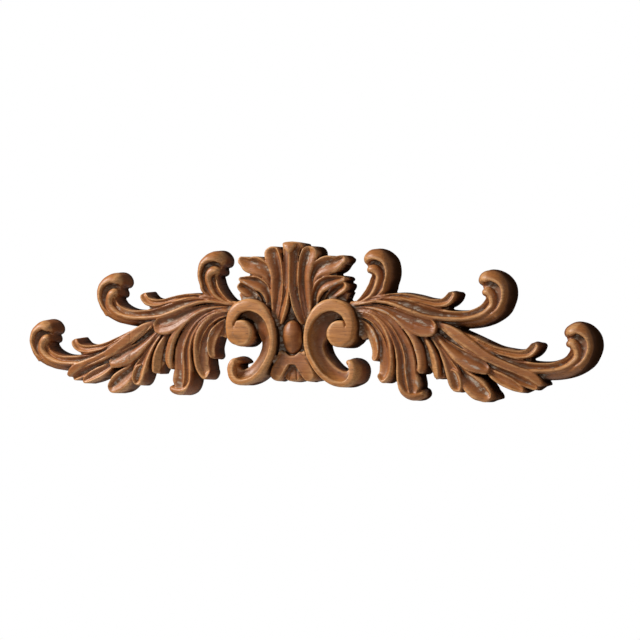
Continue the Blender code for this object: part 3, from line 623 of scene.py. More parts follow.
@dataclass(frozen=True)
class Crown:
    """The palmette over the bead: a middle rib that parts like a wishbone, and three leaves on each side."""

    draft: Draft = Draft(outward=3.0, inward=0.8, upright=1.0)
    rib: Stations = (
        (0, 34, 5, 38), (0, 44, 8.2, 40), (0, 58, 9.2, 40.6), (0, 74, 9.8, 40.4), (0, 88, 11.4, 39.6),
        (0, 98, 13, 36))
    arm: Stations = (
        (1.2, 47, 2.2, 39.8), (2.8, 38, 3, 40), (4.6, 29, 3.7, 39.6), (6.9, 20, 4.3, 38.8),
        (9.8, 11, 4.4, 37.6), (13, 2.6, 4, 35.6), (16, -5, 2.6, 32))
    trough: Stations = (
        (8, 52, 5, 32.5), (11, 36, 6, 32), (14, 20, 6, 31), (18, 4, 5, 30), (21.6, -8, 4, 27))
    cap: Stations = ((1, 84, 9, 24), (1.5, 93, 13.6, 31), (1.5, 102, 13.4, 36.5))
    cap_draft: Draft = Draft(outward=3.0, inward=0.8, upright=-0.6)
    lip: Stations = (
        (-0.8, 101, 10, 38.6), (-0.8, 97, 9.4, 41.4), (-0.5, 92.8, 6.6, 42.8), (0, 88.8, 3.2, 43),
        (0, 86, 1, 41.8))
    tall_leaf: Stations = (
        (22.8, 2, 4.2, 31.5), (20.6, 20, 7.2, 33.5), (19.2, 40, 8.9, 35.5), (19, 58, 8.9, 36.8),
        (22, 74, 10.6, 37.8), (25.6, 85, 11, 37.6), (28.6, 95.4, 8.6, 36))
    wide_leaf: Stations = (
        (26, 40, 4, 31), (29.6, 54, 6, 34), (37.6, 65, 10.2, 36.2), (49, 70.4, 12.4, 36.8),
        (59.6, 72.2, 10.2, 36.2), (67.6, 76.8, 6.8, 35.2), (74.6, 80.2, 3.8, 33))
    low_leaf: Stations = (
        (31.4, 16, 3.4, 28), (33, 30, 5.4, 31.5), (38.4, 41.4, 8, 34), (47.4, 47.6, 8.8, 34.8),
        (57.4, 50.8, 6.8, 34.6), (66.4, 52.6, 4.4, 34), (74.4, 53.6, 2.2, 32.5))
    low_lobe: Stations = (
        (44, 20, 3.4, 26), (52, 30.4, 6, 29.5), (61, 37, 7.4, 32), (69, 42.2, 6.8, 33), (75.4, 47, 4, 32.5))

    def strokes(self) -> list[Stroke]:
        """The crown's forms."""
        return [
            Stroke("crown_rib", self.rib, Cut.RIB, mirrored=False, draft=self.draft),
            Stroke("crown_arm", self.arm, Cut.ARM, draft=self.draft),
            Stroke("crown_trough", self.trough, Cut.FLAT, draft=self.draft),
            Stroke("crown_cap", self.cap, Cut.FLAT, 3.0, fall=1.0, mirrored=False, draft=self.cap_draft),
            Stroke("crown_lip", self.lip, Cut.ROUND, root_round=3.5, mirrored=False, draft=self.draft),
        ] + [Stroke(f"crown_{name}", stations, Cut.CROWN_LEAF, tip, closing, draft=self.draft)
             for name, stations, tip, closing in (
                 ("tall_leaf", self.tall_leaf, 7.0, 8.0), ("wide_leaf", self.wide_leaf, 3.0, 9.0),
                 ("low_leaf", self.low_leaf, 3.0, 8.0), ("low_lobe", self.low_lobe, 4.0, 6.0))]


@dataclass(frozen=True)
class Bib:
    """The bead in its field, the bib under it and the bud in the bib's arch."""

    field_floor: Stations = (
        (0, 40, 3, 30), (0, 24, 8, 28), (0, 10, 14, 26), (0, -8, 22, 24), (0, -30, 24, 23),
        (0, -50, 18, 24))
    bead: Stations = (
        (0, 0.4, 13, 31), (0, -9, 13, 35.6), (0, -19, 13, 37), (0, -32, 13, 34.8), (0, -45, 13, 30))
    bead_round: float = 20.5
    collar: Stations = ((-1, -50.6, 4, 31.4), (9, -48.6, 4.4, 31.4), (19, -43.4, 5, 30.6))
    middle: Stations = ((-26, -54, 8, 30.4), (0, -52.4, 5.6, 31.6), (26, -54, 8, 30.4))
    lappet: Stations = (
        (5, -45.6, 7.4, 30.6), (12.4, -55, 8.8, 31.8), (19.4, -65.4, 8.8, 32), (25.8, -79, 7.8, 30.5))
    bud: Stations = ((0, -52, 8, 22), (0, -66, 11, 26), (0, -75, 12, 27.5), (0, -80.5, 10, 26))

    def strokes(self) -> list[Stroke]:
        """The bib's forms."""
        return [
            Stroke("bead_field", self.field_floor, Cut.SCOOP, mirrored=False),
            Stroke("bead", self.bead, Cut.DOME, self.bead_round, root_round=self.bead_round, fall=3.0,
                   mirrored=False),
            Stroke("bib_collar", self.collar, Cut.ROUND),
            Stroke("bib_middle", self.middle, Cut.FLAT, mirrored=False),
            Stroke("bib_lappet", self.lappet, Cut.FLAT, 7.8),
            Stroke("bib_bud", self.bud, Cut.ROUND, 3.0, mirrored=False),
        ]

    def scores(self) -> list[Score]:
        """The bib's raised lower edge and the bud's two creases."""
        return [
            Score(((0, -56.4), (5.6, -58.4), (9.6, -64.4), (13.4, -72), (18, -78)), 1.6, -0.9),
            Score(((3.6, -62), (4.8, -70), (5, -79)), 1.6, 1.2),
        ]


@dataclass(frozen=True)
class Ground:
    """What is left of the board between the forms."""

    crown: Stations = ((0, 85, 30, 24), (0, 60, 52, 23), (0, 40, 58, 22), (0, 15, 60, 22))
    crown_notch: Stations = ((42, 58, 6, 28), (60, 61.5, 4, 26))
    crown_foot: Stations = ((50, 26, 6, 26), (69, 30.4, 5.4, 25), (74.6, 29.6, 5, 24))
    scroll_gap: Stations = ((86, 0, 7, 26), (95, -14, 7, 25), (99, -23, 5, 24))
    spray: Stations = (
        (78, 10, 14, 27), (108, 8, 17, 26), (140, 0, 21, 24), (166, -9, 20, 24), (190, -16, 16, 25),
        (215, -25, 14, 25), (240, -39, 13, 25), (262, -52, 9, 24), (290, -63, 6, 22))
    strips: Stations = ((104, -2, 9, 24), (124, -14, 12, 24), (143, -32, 12, 23), (150, -56, 8, 21))
    leaves: Stations = (
        (168, -15, 10, 25), (182, -36, 9, 26), (191.6, -54, 9, 26), (196, -66, 8, 25),
        (197.6, -73, 6.4, 23))

    def strokes(self) -> list[Stroke]:
        """The ground's pieces."""
        return [
            Stroke("crown_ground", self.crown, Cut.FLAT, mirrored=False),
        ] + [Stroke(name, stations, Cut.FLAT) for name, stations in (
            ("crown_notch", self.crown_notch), ("crown_foot", self.crown_foot),
            ("scroll_gap", self.scroll_gap), ("spray_ground", self.spray),
            ("strip_ground", self.strips), ("leaf_ground", self.leaves))]


# Relief measured over the whole face


@dataclass
class ReliefMap:
    """The carving's height over a grid in the frame's x and z, used to find hollows, crests and walls."""

    cell: float = 1.0
    margin: float = 40.0
    low: np.ndarray = field(default_factory=lambda: np.zeros(2))
    heights: np.ndarray = field(default_factory=lambda: np.zeros((1, 1)))

    def measure(self, points: np.ndarray) -> None:
        """Fills the grid and bridges single empty cells.

        Args:
            points: a dense cloud of points, in millimetres.
        """
        flat = points[:, (0, 2)]
        self.low = flat.min(axis=0) - self.margin
        size = np.ceil((flat.max(axis=0) + self.margin - self.low) / self.cell).astype(int)
        self.heights = np.zeros(size)
        index = np.floor((flat - self.low) / self.cell).astype(int)
        np.maximum.at(self.heights, (index[:, 0], index[:, 1]), -points[:, 1])
        around = np.sort([np.roll(self.heights, step, axis) for step in (1, -1) for axis in (0, 1)], axis=0)
        self.heights = np.where(self.heights < around[1] - 8, around[1], self.heights)

    def blurred(self, radius: float) -> np.ndarray:
        """Averages the grid over a rounded window.

        Args:
            radius: the window's radius in millimetres.

        Returns:
            The averaged grid.
        """
        width = max(1, round(radius / self.cell))
        result = self.heights
        for _ in range(2):
            for axis in (0, 1):
                wider = [(width + 1, width) if a == axis else (0, 0) for a in (0, 1)]
                total = np.cumsum(np.pad(result, wider, mode="edge"), axis=axis)
                upper = np.take(total, range(2 * width + 1, total.shape[axis]), axis=axis)
                lower = np.take(total, range(0, total.shape[axis] - 2 * width - 1), axis=axis)
                result = (upper - lower) / (2 * width + 1)
        return result

    def at(self, grid: np.ndarray, points: np.ndarray) -> np.ndarray:
        """Reads a grid smoothly between its cells.

        Args:
            grid: the grid, or one made from it.
            points: points in millimetres.

        Returns:
            The grid's value at each point.
        """
        place = (points[:, (0, 2)] - self.low) / self.cell - 0.5
        index = np.clip(np.floor(place).astype(int), 0, np.array(grid.shape) - 2)
        a, b = np.clip(place - index, 0, 1).T
        i, j = index.T
        return ((1 - a) * (1 - b) * grid[i, j] + a * (1 - b) * grid[i + 1, j]
                + (1 - a) * b * grid[i, j + 1] + a * b * grid[i + 1, j + 1])


@dataclass(frozen=True)
class Carving:
    """The whole ornament: strokes fused into one body, softened by the years, thinned and flat behind.

    A spot has its place as x and z, its half width, its half height and its strength. A joint shows where two
    boards meet. A line of wax has its strength as its depth. Scores, wax and stains keep to the face, above
    the heights given for them.
    """

    grain_of_fusing: float = 0.78
    triangles: int = 188000
    softening: int = 2
    tool_marks: float = 0.16
    sharp_angle: float = 50.0
    low_drift: float = 1.7
    strip_drift: float = 3.4
    strip_middle: float = -156.0
    strip_reach: float = 20.0
    scored_above: float = 14.0
    waxed_above: float = 18.0
    stained_above: float = 20.0
    spots: tuple[tuple[float, float, float, float, float], ...] = (
        (-75, -22, 9, 4, 0.8), (-69, -27, 5, 2.5, 0.6), (-3, -32, 6, 4, 0.75), (163, 12.6, 1.8, 0.9, 1),
        (171.5, 24, 2.2, 0.7, 1), (165.4, -0.4, 1.3, 1, 1), (166.4, -9.6, 1.8, 1, 1),
        (164.2, -17.4, 1.6, 0.9, 1), (167.6, 3.2, 1, 0.8, 0.9), (-83, 12, 5, 3, 0.35),
        (255, 62, 8, 2.5, 0.45), (-352, -10, 6, 4, 0.4))
    joints: tuple[Score, ...] = (
        Score(((165.4, 26), (165, 8), (165.8, -6), (164.8, -20)), 0.8, 0.25, (1,)),
        Score(((229, -6), (230, -30), (229.4, -62)), 0.8, 0.5, (-1,)),
        Score(((224, -28), (233, -37), (242, -44)), 1.0, 0.4, (1,)))
    wax: tuple[Score, ...] = (
        Score(((25, 88), (24, 80), (22.4, 70)), 2.2, 1.0),
        Score(((42, 66), (50, 74), (57, 77)), 2.4, 1.0),
        Score(((46, 32), (54, 42), (66, 50), (76, 56)), 1.6, 1.0),
        Score(((130, 29.6), (146, 32.4), (160, 29)), 1.6, 1.0),
        Score(((166, 2), (174, -3), (181, -8)), 3.0, 1.0),
        Score(((140, 7), (152, 2), (163, -4)), 2.4, 0.8),
        Score(((222, 8.4), (234, 9), (245, 12), (254, 19)), 2.2, 0.9),
        Score(((326, -54.6), (338, -54.2), (349, -51)), 2.0, 0.9),
        Score(((150, -26), (154, -45), (154, -62), (157, -80), (163, -89)), 1.2, 1.0),
        Score(((164, -74), (169, -80), (172, -86)), 3.4, 0.8),
        Score(((234, -68), (246, -80), (258, -92)), 3.0, 1.0),
        Score(((212, -62), (216, -70), (219, -78)), 2.4, 1.0),
        Score(((226, -46), (238, -55), (250, -60)), 2.4, 0.8),
        Score(((96, 14), (112, 15.6), (126, 12), (140, 3), (150, -8)), 1.3, 0.8),
        Score(((106, -10), (116, -26), (120, -44), (121, -58)), 2.2, 0.8),
        Score(((166, -30), (168, -42), (169, -56)), 1.4, 0.8),
        Score(((0, -46.2), (9, -43.8), (20, -38)), 1.6, 1.0))

    def strokes(self) -> list[Stroke]:
        """All strokes of all sub-assemblies."""
        parts = (Scroll(), Tendrils(), Foliage(), Crown(), Bib(), Ground())
        return [stroke for part in parts for stroke in part.strokes()]

    def scores(self) -> list[Score]:
        """All fine cuts and threads."""
        return [score for part in (Scroll(), Tendrils(), Foliage(), Bib()) for score in part.scores()]

    def build(self) -> bpy.types.Object:
        """Builds the carving.

        Returns:
            The finished piece, with the values that its finish reads.
        """
        blocks = [block for stroke in self.strokes() for block in stroke.blocks()]
        LOG.info("drew %d strokes", len(blocks))
        bpy.ops.object.select_all(action="DESELECT")
        for block in blocks:
            block.select_set(True)
        bpy.context.view_layer.objects.active = blocks[0]
        bpy.ops.object.join()
        piece = bpy.context.object
        piece.name = piece.data.name = "carving"
        bpy.ops.object.transform_apply(location=True, rotation=True, scale=True)
        bpy.ops.object.mode_set(mode="EDIT")
        bpy.ops.mesh.select_all(action="SELECT")
        bpy.ops.mesh.normals_make_consistent(inside=False)
        bpy.ops.object.mode_set(mode="OBJECT")
        self.fuse(piece)
        self.engrave(piece)
        relief = ReliefMap()
        relief.measure(vectors_of(piece, "co") / MM)
        self.thin(piece)
        self.flatten(piece)
        self.mark(piece)
        self.drift(piece)
        self.keep_inside(piece)
        self.describe(piece, relief)
        LOG.info("carving has %d faces", len(piece.data.polygons))
        return piece

    def fuse(self, piece: bpy.types.Object) -> None:
        """Fuses the strokes into one surface and softens it."""
        modify(piece, "REMESH", mode="VOXEL", voxel_size=self.grain_of_fusing * MM)
        modify(piece, "SMOOTH", factor=0.5, iterations=self.softening)

    def engrave(self, piece: bpy.types.Object) -> None:
        """Cuts the scores into the face and raises the threads.

        Args:
            piece: the fused carving.
        """
        at = vectors_of(piece, "co") / MM
        facing = np.clip((-vectors_of(piece, "normal")[:, 1] - 0.15) * 2.2, 0, 1)
        front = facing * (at[:, 1] < -self.scored_above)
        for score in self.scores() + list(self.joints):
            at[:, 1] += score.press(at, front)
        set_points(piece, at * MM)
        modify(piece, "SMOOTH", factor=0.5, iterations=1)

    def thin(self, piece: bpy.types.Object) -> None:
        """Thins the surface where it is plain."""
        piece.data.calc_loop_triangles()
        modify(piece, "DECIMATE", ratio=min(1.0, self.triangles / len(piece.data.loop_triangles)))

    def flatten(self, piece: bpy.types.Object) -> None:
        """Planes the back flat on y = 0 and leaves sharp only the edges that are.

        Args:
            piece: the thinned carving.
        """
        bpy.ops.object.mode_set(mode="EDIT")
        bpy.ops.mesh.select_all(action="SELECT")
        bpy.ops.mesh.bisect(plane_co=(0, 0, 0), plane_no=(0, 1, 0), use_fill=True, clear_outer=True)
        bpy.ops.mesh.select_all(action="SELECT")
        bpy.ops.mesh.quads_convert_to_tris(quad_method="BEAUTY", ngon_method="BEAUTY")
        bpy.ops.object.mode_set(mode="OBJECT")
        bpy.ops.object.shade_smooth_by_angle(angle=math.radians(self.sharp_angle))

    def mark(self, piece: bpy.types.Object) -> None:
        """Leaves the faint unevenness of gouge and scraper on the carved surfaces.

        Args:
            piece: the carving.
        """
        points, normals = vectors_of(piece, "co"), vectors_of(piece, "normal")
        x, y, z = points.T / MM
        facets = np.sin(x / 3.1 + 1.7 * np.sin(z / 7.3)) * np.sin(z / 2.7 + 1.3 * np.sin(x / 8.9))
        sweep = 0.6 * np.sin(x / 6.7 - z / 5.1 + y / 4.3)
        lift = self.tool_marks * MM * (facets + sweep) * np.clip(-y / 12, 0, 1)
        set_points(piece, points + normals * lift[:, None])

    def drift(self, piece: bpy.types.Object) -> None:
        """Moves the lower forms a little to the right, as the carver set them out, the left long strip most.

        Args:
            piece: the carving.
        """
        at = vectors_of(piece, "co") / MM
        low = share(-at[:, 2], 20, 80) * share(-np.abs(at[:, 0]), -200, -150)
        near = np.exp(-((at[:, 0] - self.strip_middle) / self.strip_reach) ** 2)
        strip = near * share(-at[:, 2], 40, 85)
        at[:, 0] += self.low_drift * low + self.strip_drift * strip
        set_points(piece, at * MM)

    def keep_inside(self, piece: bpy.types.Object) -> None:
        """Keeps the carving inside the CAD box.

        Args:
            piece: the carving.
        """
        low, high = (np.array(corner) for corner in CAD_BOX)
        points = vectors_of(piece, "co")
        points[:, 1] = np.clip(points[:, 1], low[1], 0.0)
        reach = np.maximum(points / np.minimum(low, -1e-6), points / np.maximum(high, 1e-6))
        span = np.maximum(1.0, reach.max(axis=0))
        points[:, (0, 2)] /= span[[0, 2]]
        set_points(piece, points)

    def describe(self, piece: bpy.types.Object, relief: ReliefMap) -> None:
        """Writes where the surface is hollow, crested or a wall, for the finish to read.

        Args:
            piece: the finished carving.
            relief: its height over the whole face.
        """
        at = vectors_of(piece, "co") / MM
        height = -at[:, 1]
        top, fine, near, wide = (relief.at(relief.blurred(radius), at) for radius in (1.0, 2.0, 4.0, 9.0))
        normals = vectors_of(piece, "normal")
        values = {
            # groove and hollow steer the dust, and also the painted shade in the recesses.
            "groove": share(near - height, 0.0, 4.5),
            "hollow": share(wide - height, 0.0, 13.0),
            "crest": share(height - fine, 0.0, 1.5) * share(top, 12, 24),
            # raised marks the broad raised faces, which the finish lightens as a painted highlight.
            "raised": share(height - wide, -1.6, 6.4) * share(top, 20, 30),
            # wall steers the dirt mixed with painted shade on the walls.
            "wall": np.clip(1 - np.abs(normals[:, 1]) * 1.5, 0, 1) * share(top - height, 0.0, 6.0),
            "front": np.clip((-normals[:, 1] - 0.42) * 2.4, 0, 1),
            "scroll": self.near_scroll(at),
            "stain": self.stained(at),
            "wax": self.waxed(at),
        }
        for name, value in values.items():
            layer = piece.data.attributes.new(name, "FLOAT", "POINT")
            layer.data.foreach_set("value", value.astype(np.float32))

    def stained(self, at: np.ndarray) -> np.ndarray:
        """Finds the old spots, the pin holes and the joints between boards.

        Args:
            at: points in millimetres.

        Returns:
            How dark each point is, from 0 to 1.
        """
        front = at[:, 1] < -self.stained_above
        ragged = 0.5 + 0.5 * np.sin(at[:, 0] * 1.9 + 3 * np.sin(at[:, 2] * 0.8)) * np.sin(at[:, 2] * 2.3)
        value = np.zeros(len(at))
        for x, z, wide, tall, strength in self.spots:
            apart = ((at[:, 0] - x) / wide) ** 2 + ((at[:, 2] - z) / tall) ** 2
            value = np.maximum(value, strength * np.clip(1.4 - 1.4 * apart, 0, 1) * (0.35 + 0.65 * ragged))
        for joint in self.joints:
            value = np.maximum(value, sum(joint.reach(at, side) for side in joint.sides) * ragged ** 3)
        return np.clip(value, 0, 1) * front

    def waxed(self, at: np.ndarray) -> np.ndarray:
        """How much old pale wax each point holds, along the lines where the brush left it."""
        reach = [line.depth * line.reach(at, side) for line in self.wax for side in line.sides]
        return np.clip(np.max(reach, axis=0), 0, 1) * (at[:, 1] < -self.waxed_above)

    def near_scroll(self, at: np.ndarray) -> np.ndarray:
        """Finds the C scrolls, which are polished lighter.

        Args:
            at: points in millimetres.

        Returns:
            How much each point belongs to them, from 0 to 1.
        """
        best = np.full(len(at), 1e9)
        scroll = Scroll()
        for stations, reach in ((scroll.rim, 9.0), (scroll.eye, 20.0)):
            line = Stroke("measure", stations, Cut.FLAT, step=4.0).line()
            for x, z in line[:, :2]:
                best = np.minimum(best, np.hypot(np.abs(at[:, 0]) - x, at[:, 2] - z) - reach)
        return np.clip(0.6 - best / 6.0, 0, 1) * share(-at[:, 1], 20, 28)


def modify(piece: bpy.types.Object, kind: str, **settings: object) -> None:
    """Adds a modifier and applies it.

    Args:
        piece: the active object.
        kind: the modifier's type.
        **settings: its settings, by name.
    """
    modifier = piece.modifiers.new(kind.lower(), kind)
    for name, value in settings.items():
        setattr(modifier, name, value)
    bpy.ops.object.modifier_apply(modifier=modifier.name)


def vectors_of(piece: bpy.types.Object, name: str) -> np.ndarray:
    """Reads a vector of each of the mesh's points.

    Args:
        piece: the object.
        name: "co" for the points themselves, in metres, or "normal".

    Returns:
        One row for each point.
    """
    vectors = np.empty(len(piece.data.vertices) * 3)
    piece.data.vertices.foreach_get(name, vectors)
    return vectors.reshape(-1, 3)


def set_points(piece: bpy.types.Object, points: np.ndarray) -> None:
    """Moves the mesh's points."""
    piece.data.vertices.foreach_set("co", points.ravel())
    piece.data.update()


# Finishes


class Nodes:
    """A small hand for wiring shader nodes in a material or a group."""

    def __init__(self, tree: bpy.types.NodeTree) -> None:
        """Takes the tree to wire."""
        self.tree = tree

    def add(self, kind: str, **settings: object) -> bpy.types.Node:
        """Adds a node.

        Args:
            kind: the node's type.
            **settings: its own properties, by name.

        Returns:
            The node.
        """
        node = self.tree.nodes.new(kind)
        for name, value in settings.items():
            setattr(node, name, value)
        return node

    def link(self, source: bpy.types.NodeSocket, target: bpy.types.NodeSocket) -> None:
        """Joins two sockets."""
        self.tree.links.new(source, target)

    def put(self, target: bpy.types.NodeSocket, value: object) -> None:
        """Sets a socket, or links another one to it.

        Args:
            target: the socket.
            value: a value, or the socket to link.
        """
        if isinstance(value, bpy.types.NodeSocket):
            self.link(value, target)
        else:
            target.default_value = value

    def math(self, operation: str, *values: object, clamp: bool = False) -> bpy.types.NodeSocket:
        """Adds a Math node.

        Args:
            operation: what it does.
            *values: its inputs, as sockets or numbers.
            clamp: whether its result stays between 0 and 1.

        Returns:
            Its result.
        """
        node = self.add("ShaderNodeMath", operation=operation, use_clamp=clamp)
        for socket, value in zip(node.inputs, values):
            self.put(socket, value)
        return node.outputs[0]

    def blend(self, *shares: tuple[bpy.types.NodeSocket, float], shift: float = 0.0) -> bpy.types.NodeSocket:
        """Adds sockets up.

        Args:
            *shares: each socket with its weight.
            shift: a constant that is added.

        Returns:
            The weighted sum.
        """
        total = shift
        for socket, weight in shares:
            total = self.math("MULTIPLY_ADD", socket, weight, total)
        return total

    def ramp(self, value: bpy.types.NodeSocket, low: float, high: float,
             to: tuple[float, float] = (0.0, 1.0)) -> bpy.types.NodeSocket:
        """Maps a value smoothly from one range to another, clamped.

        Args:
            value: the value.
            low: where the first range starts.
            high: where it ends.
            to: the second range.

        Returns:
            The mapped value.
        """
        node = self.add("ShaderNodeMapRange", clamp=True, interpolation_type="SMOOTHSTEP")
        names = ("Value", "From Min", "From Max", "To Min", "To Max")
        for name, item in zip(names, (value, low, high, *to)):
            self.put(node.inputs[name], item)
        return node.outputs[0]

    def mix(self, part: object, first: object, second: object) -> bpy.types.NodeSocket:
        """Mixes two colours.

        Args:
            part: how much of the second there is.
            first: the first colour, or its socket.
            second: the second colour, or its socket.

        Returns:
            The mixed colour.
        """
        node = self.add("ShaderNodeMix", data_type="RGBA")
        self.put(node.inputs[0], part)
        for socket, value in ((node.inputs[6], first), (node.inputs[7], second)):
            self.put(socket, (*value, 1.0) if isinstance(value, tuple) and len(value) == 3 else value)
        return node.outputs[2]

    def scaled(self, vector: bpy.types.NodeSocket, scale: Place) -> bpy.types.NodeSocket:
        """Stretches a vector.

        Args:
            vector: the vector.
            scale: how much along each axis.

        Returns:
            The stretched vector.
        """
        node = self.add("ShaderNodeVectorMath", operation="MULTIPLY")
        self.put(node.inputs[0], vector)
        node.inputs[1].default_value = scale
        return node.outputs[0]

    def noise(self, vector: bpy.types.NodeSocket, scale: float, detail: float = 3.0,
              roughness: float = 0.55) -> bpy.types.NodeSocket:
        """Adds a Noise Texture.

        Args:
            vector: where it is read.
            scale: how fine it is.
            detail: how many finer layers it has.
            roughness: how strong those are.

        Returns:
            Its value.
        """
        node = self.add("ShaderNodeTexNoise")
        self.put(node.inputs["Vector"], vector)
        node.inputs["Scale"].default_value = scale
        node.inputs["Detail"].default_value = detail
        node.inputs["Roughness"].default_value = roughness
        return node.outputs[0]

    def attribute(self, name: str) -> bpy.types.NodeSocket:
        """One of the piece's own values."""
        return self.add("ShaderNodeAttribute", attribute_name=name).outputs["Fac"]


def new_group(name: str, values: dict[str, float], outputs: Sequence[str]) -> tuple[Nodes, dict, dict]:
    """Starts a shader node group that reads a vector and some values.

    Args:
        name: the group's name.
        values: the default of each value input, by name.
        outputs: the names of its value outputs.

    Returns:
        The wiring hand, the group's input sockets and its output sockets, by name.
    """
    tree = bpy.data.node_groups.new(name, "ShaderNodeTree")
    tree.interface.new_socket("Vector", in_out="INPUT", socket_type="NodeSocketVector")
    for label, default in values.items():
        socket = tree.interface.new_socket(label, in_out="INPUT", socket_type="NodeSocketFloat")
        socket.default_value = default
    for label in outputs:
        tree.interface.new_socket(label, in_out="OUTPUT", socket_type="NodeSocketFloat")
    nodes = Nodes(tree)
    start, end = nodes.add("NodeGroupInput"), nodes.add("NodeGroupOutput")
    return nodes, {s.name: s for s in start.outputs}, {s.name: s for s in end.inputs}


@dataclass(frozen=True)
class BoardGrain:
    """The grain of the board, which runs along x: broad bands, fine fibres and short open pores."""

    def group(self) -> bpy.types.NodeTree:
        """Builds the node group.

        Returns:
            The group, which puts out the bands, the fibres and the pores.
        """
        nodes, given, out = new_group("board_grain", {"Figure": 1.0}, ("Bands", "Fibres", "Pores"))
        bands = nodes.noise(nodes.scaled(given["Vector"], (5.0, 30.0, 42.0)), 1.0, 3.0)
        fibres = nodes.noise(nodes.scaled(given["Vector"], (30.0, 300.0, 430.0)), 1.0, 3.0, 0.65)
        pores = nodes.noise(nodes.scaled(given["Vector"], (120.0, 800.0, 950.0)), 1.0, 2.0, 0.5)
        nodes.link(nodes.math("MULTIPLY", nodes.ramp(bands, 0.35, 0.66), given["Figure"]), out["Bands"])
        nodes.link(nodes.math("MULTIPLY", nodes.ramp(fibres, 0.36, 0.68), given["Figure"]), out["Fibres"])
        nodes.link(nodes.ramp(pores, 0.60, 0.74), out["Pores"])
        return nodes.tree


@dataclass(frozen=True)
class OldPolish:
    """What the years left, with painted shade: pale dust and wax in the grooves, wear on the crests, painted
    shade in grooves and hollows, and dark dirt mixed with painted shade on walls and in hollows.
    """

    def group(self) -> bpy.types.NodeTree:
        """Builds the node group.

        Returns:
            The group, which puts out how much of each trace of age there is, and how much painted shade falls
            in the recesses and on the walls.
        """
        nodes, given, out = new_group(
            "old_polish",
            {"Groove": 0.0, "Hollow": 0.0, "Crest": 0.0, "Wall": 0.0, "Front": 1.0, "Wax": 0.0},
            ("Recess_shade", "Film", "Dust", "Grime_and_shade", "Wear"))
        patch = nodes.noise(given["Vector"], 42.0, 4.0, 0.6)
        cloud = nodes.noise(given["Vector"], 14.0, 3.0, 0.6)
        scratch = nodes.noise(nodes.scaled(given["Vector"], (130.0, 330.0, 250.0)), 1.0, 4.0, 0.62)
        # Painted shade: grooves and hollows are darkened where shade falls in the recesses.
        low = nodes.blend((given["Groove"], 0.75), (given["Hollow"], 0.9), (cloud, 0.5), shift=-0.25)
        nodes.link(nodes.ramp(low, 0.06, 0.8), out["Recess_shade"])
        film = nodes.blend((given["Groove"], 0.8), (given["Hollow"], 0.5), (given["Wax"], 0.6), (patch, 1.3),
                           shift=-0.5)
        thin = nodes.math("MULTIPLY", nodes.ramp(scratch, 0.36, 0.6, (0.4, 1.0)), given["Front"])
        nodes.link(nodes.math("MULTIPLY", nodes.ramp(film, 0.25, 1.0), thin), out["Film"])
        caught = nodes.blend((given["Groove"], 0.75), (given["Wax"], 1.0), (patch, 1.6), shift=-0.8)
        streaks = nodes.math("MULTIPLY", nodes.ramp(scratch, 0.44, 0.6), given["Front"])
        nodes.link(nodes.math("MULTIPLY", nodes.ramp(caught, 0.2, 0.8), streaks), out["Dust"])
        # Partly painted shade: walls and hollows darken where shade falls, mixed with real dirt.
        grime_and_shade = nodes.blend((given["Wall"], 0.8), (given["Hollow"], 0.6), (cloud, 0.6), shift=-0.3)
        nodes.link(nodes.ramp(grime_and_shade, 0.15, 1.0), out["Grime_and_shade"])
        wear = nodes.blend((given["Crest"], 1.0), (patch, 1.4), shift=-0.7)
        nodes.link(nodes.ramp(wear, 0.15, 1.0), out["Wear"])
        return nodes.tree


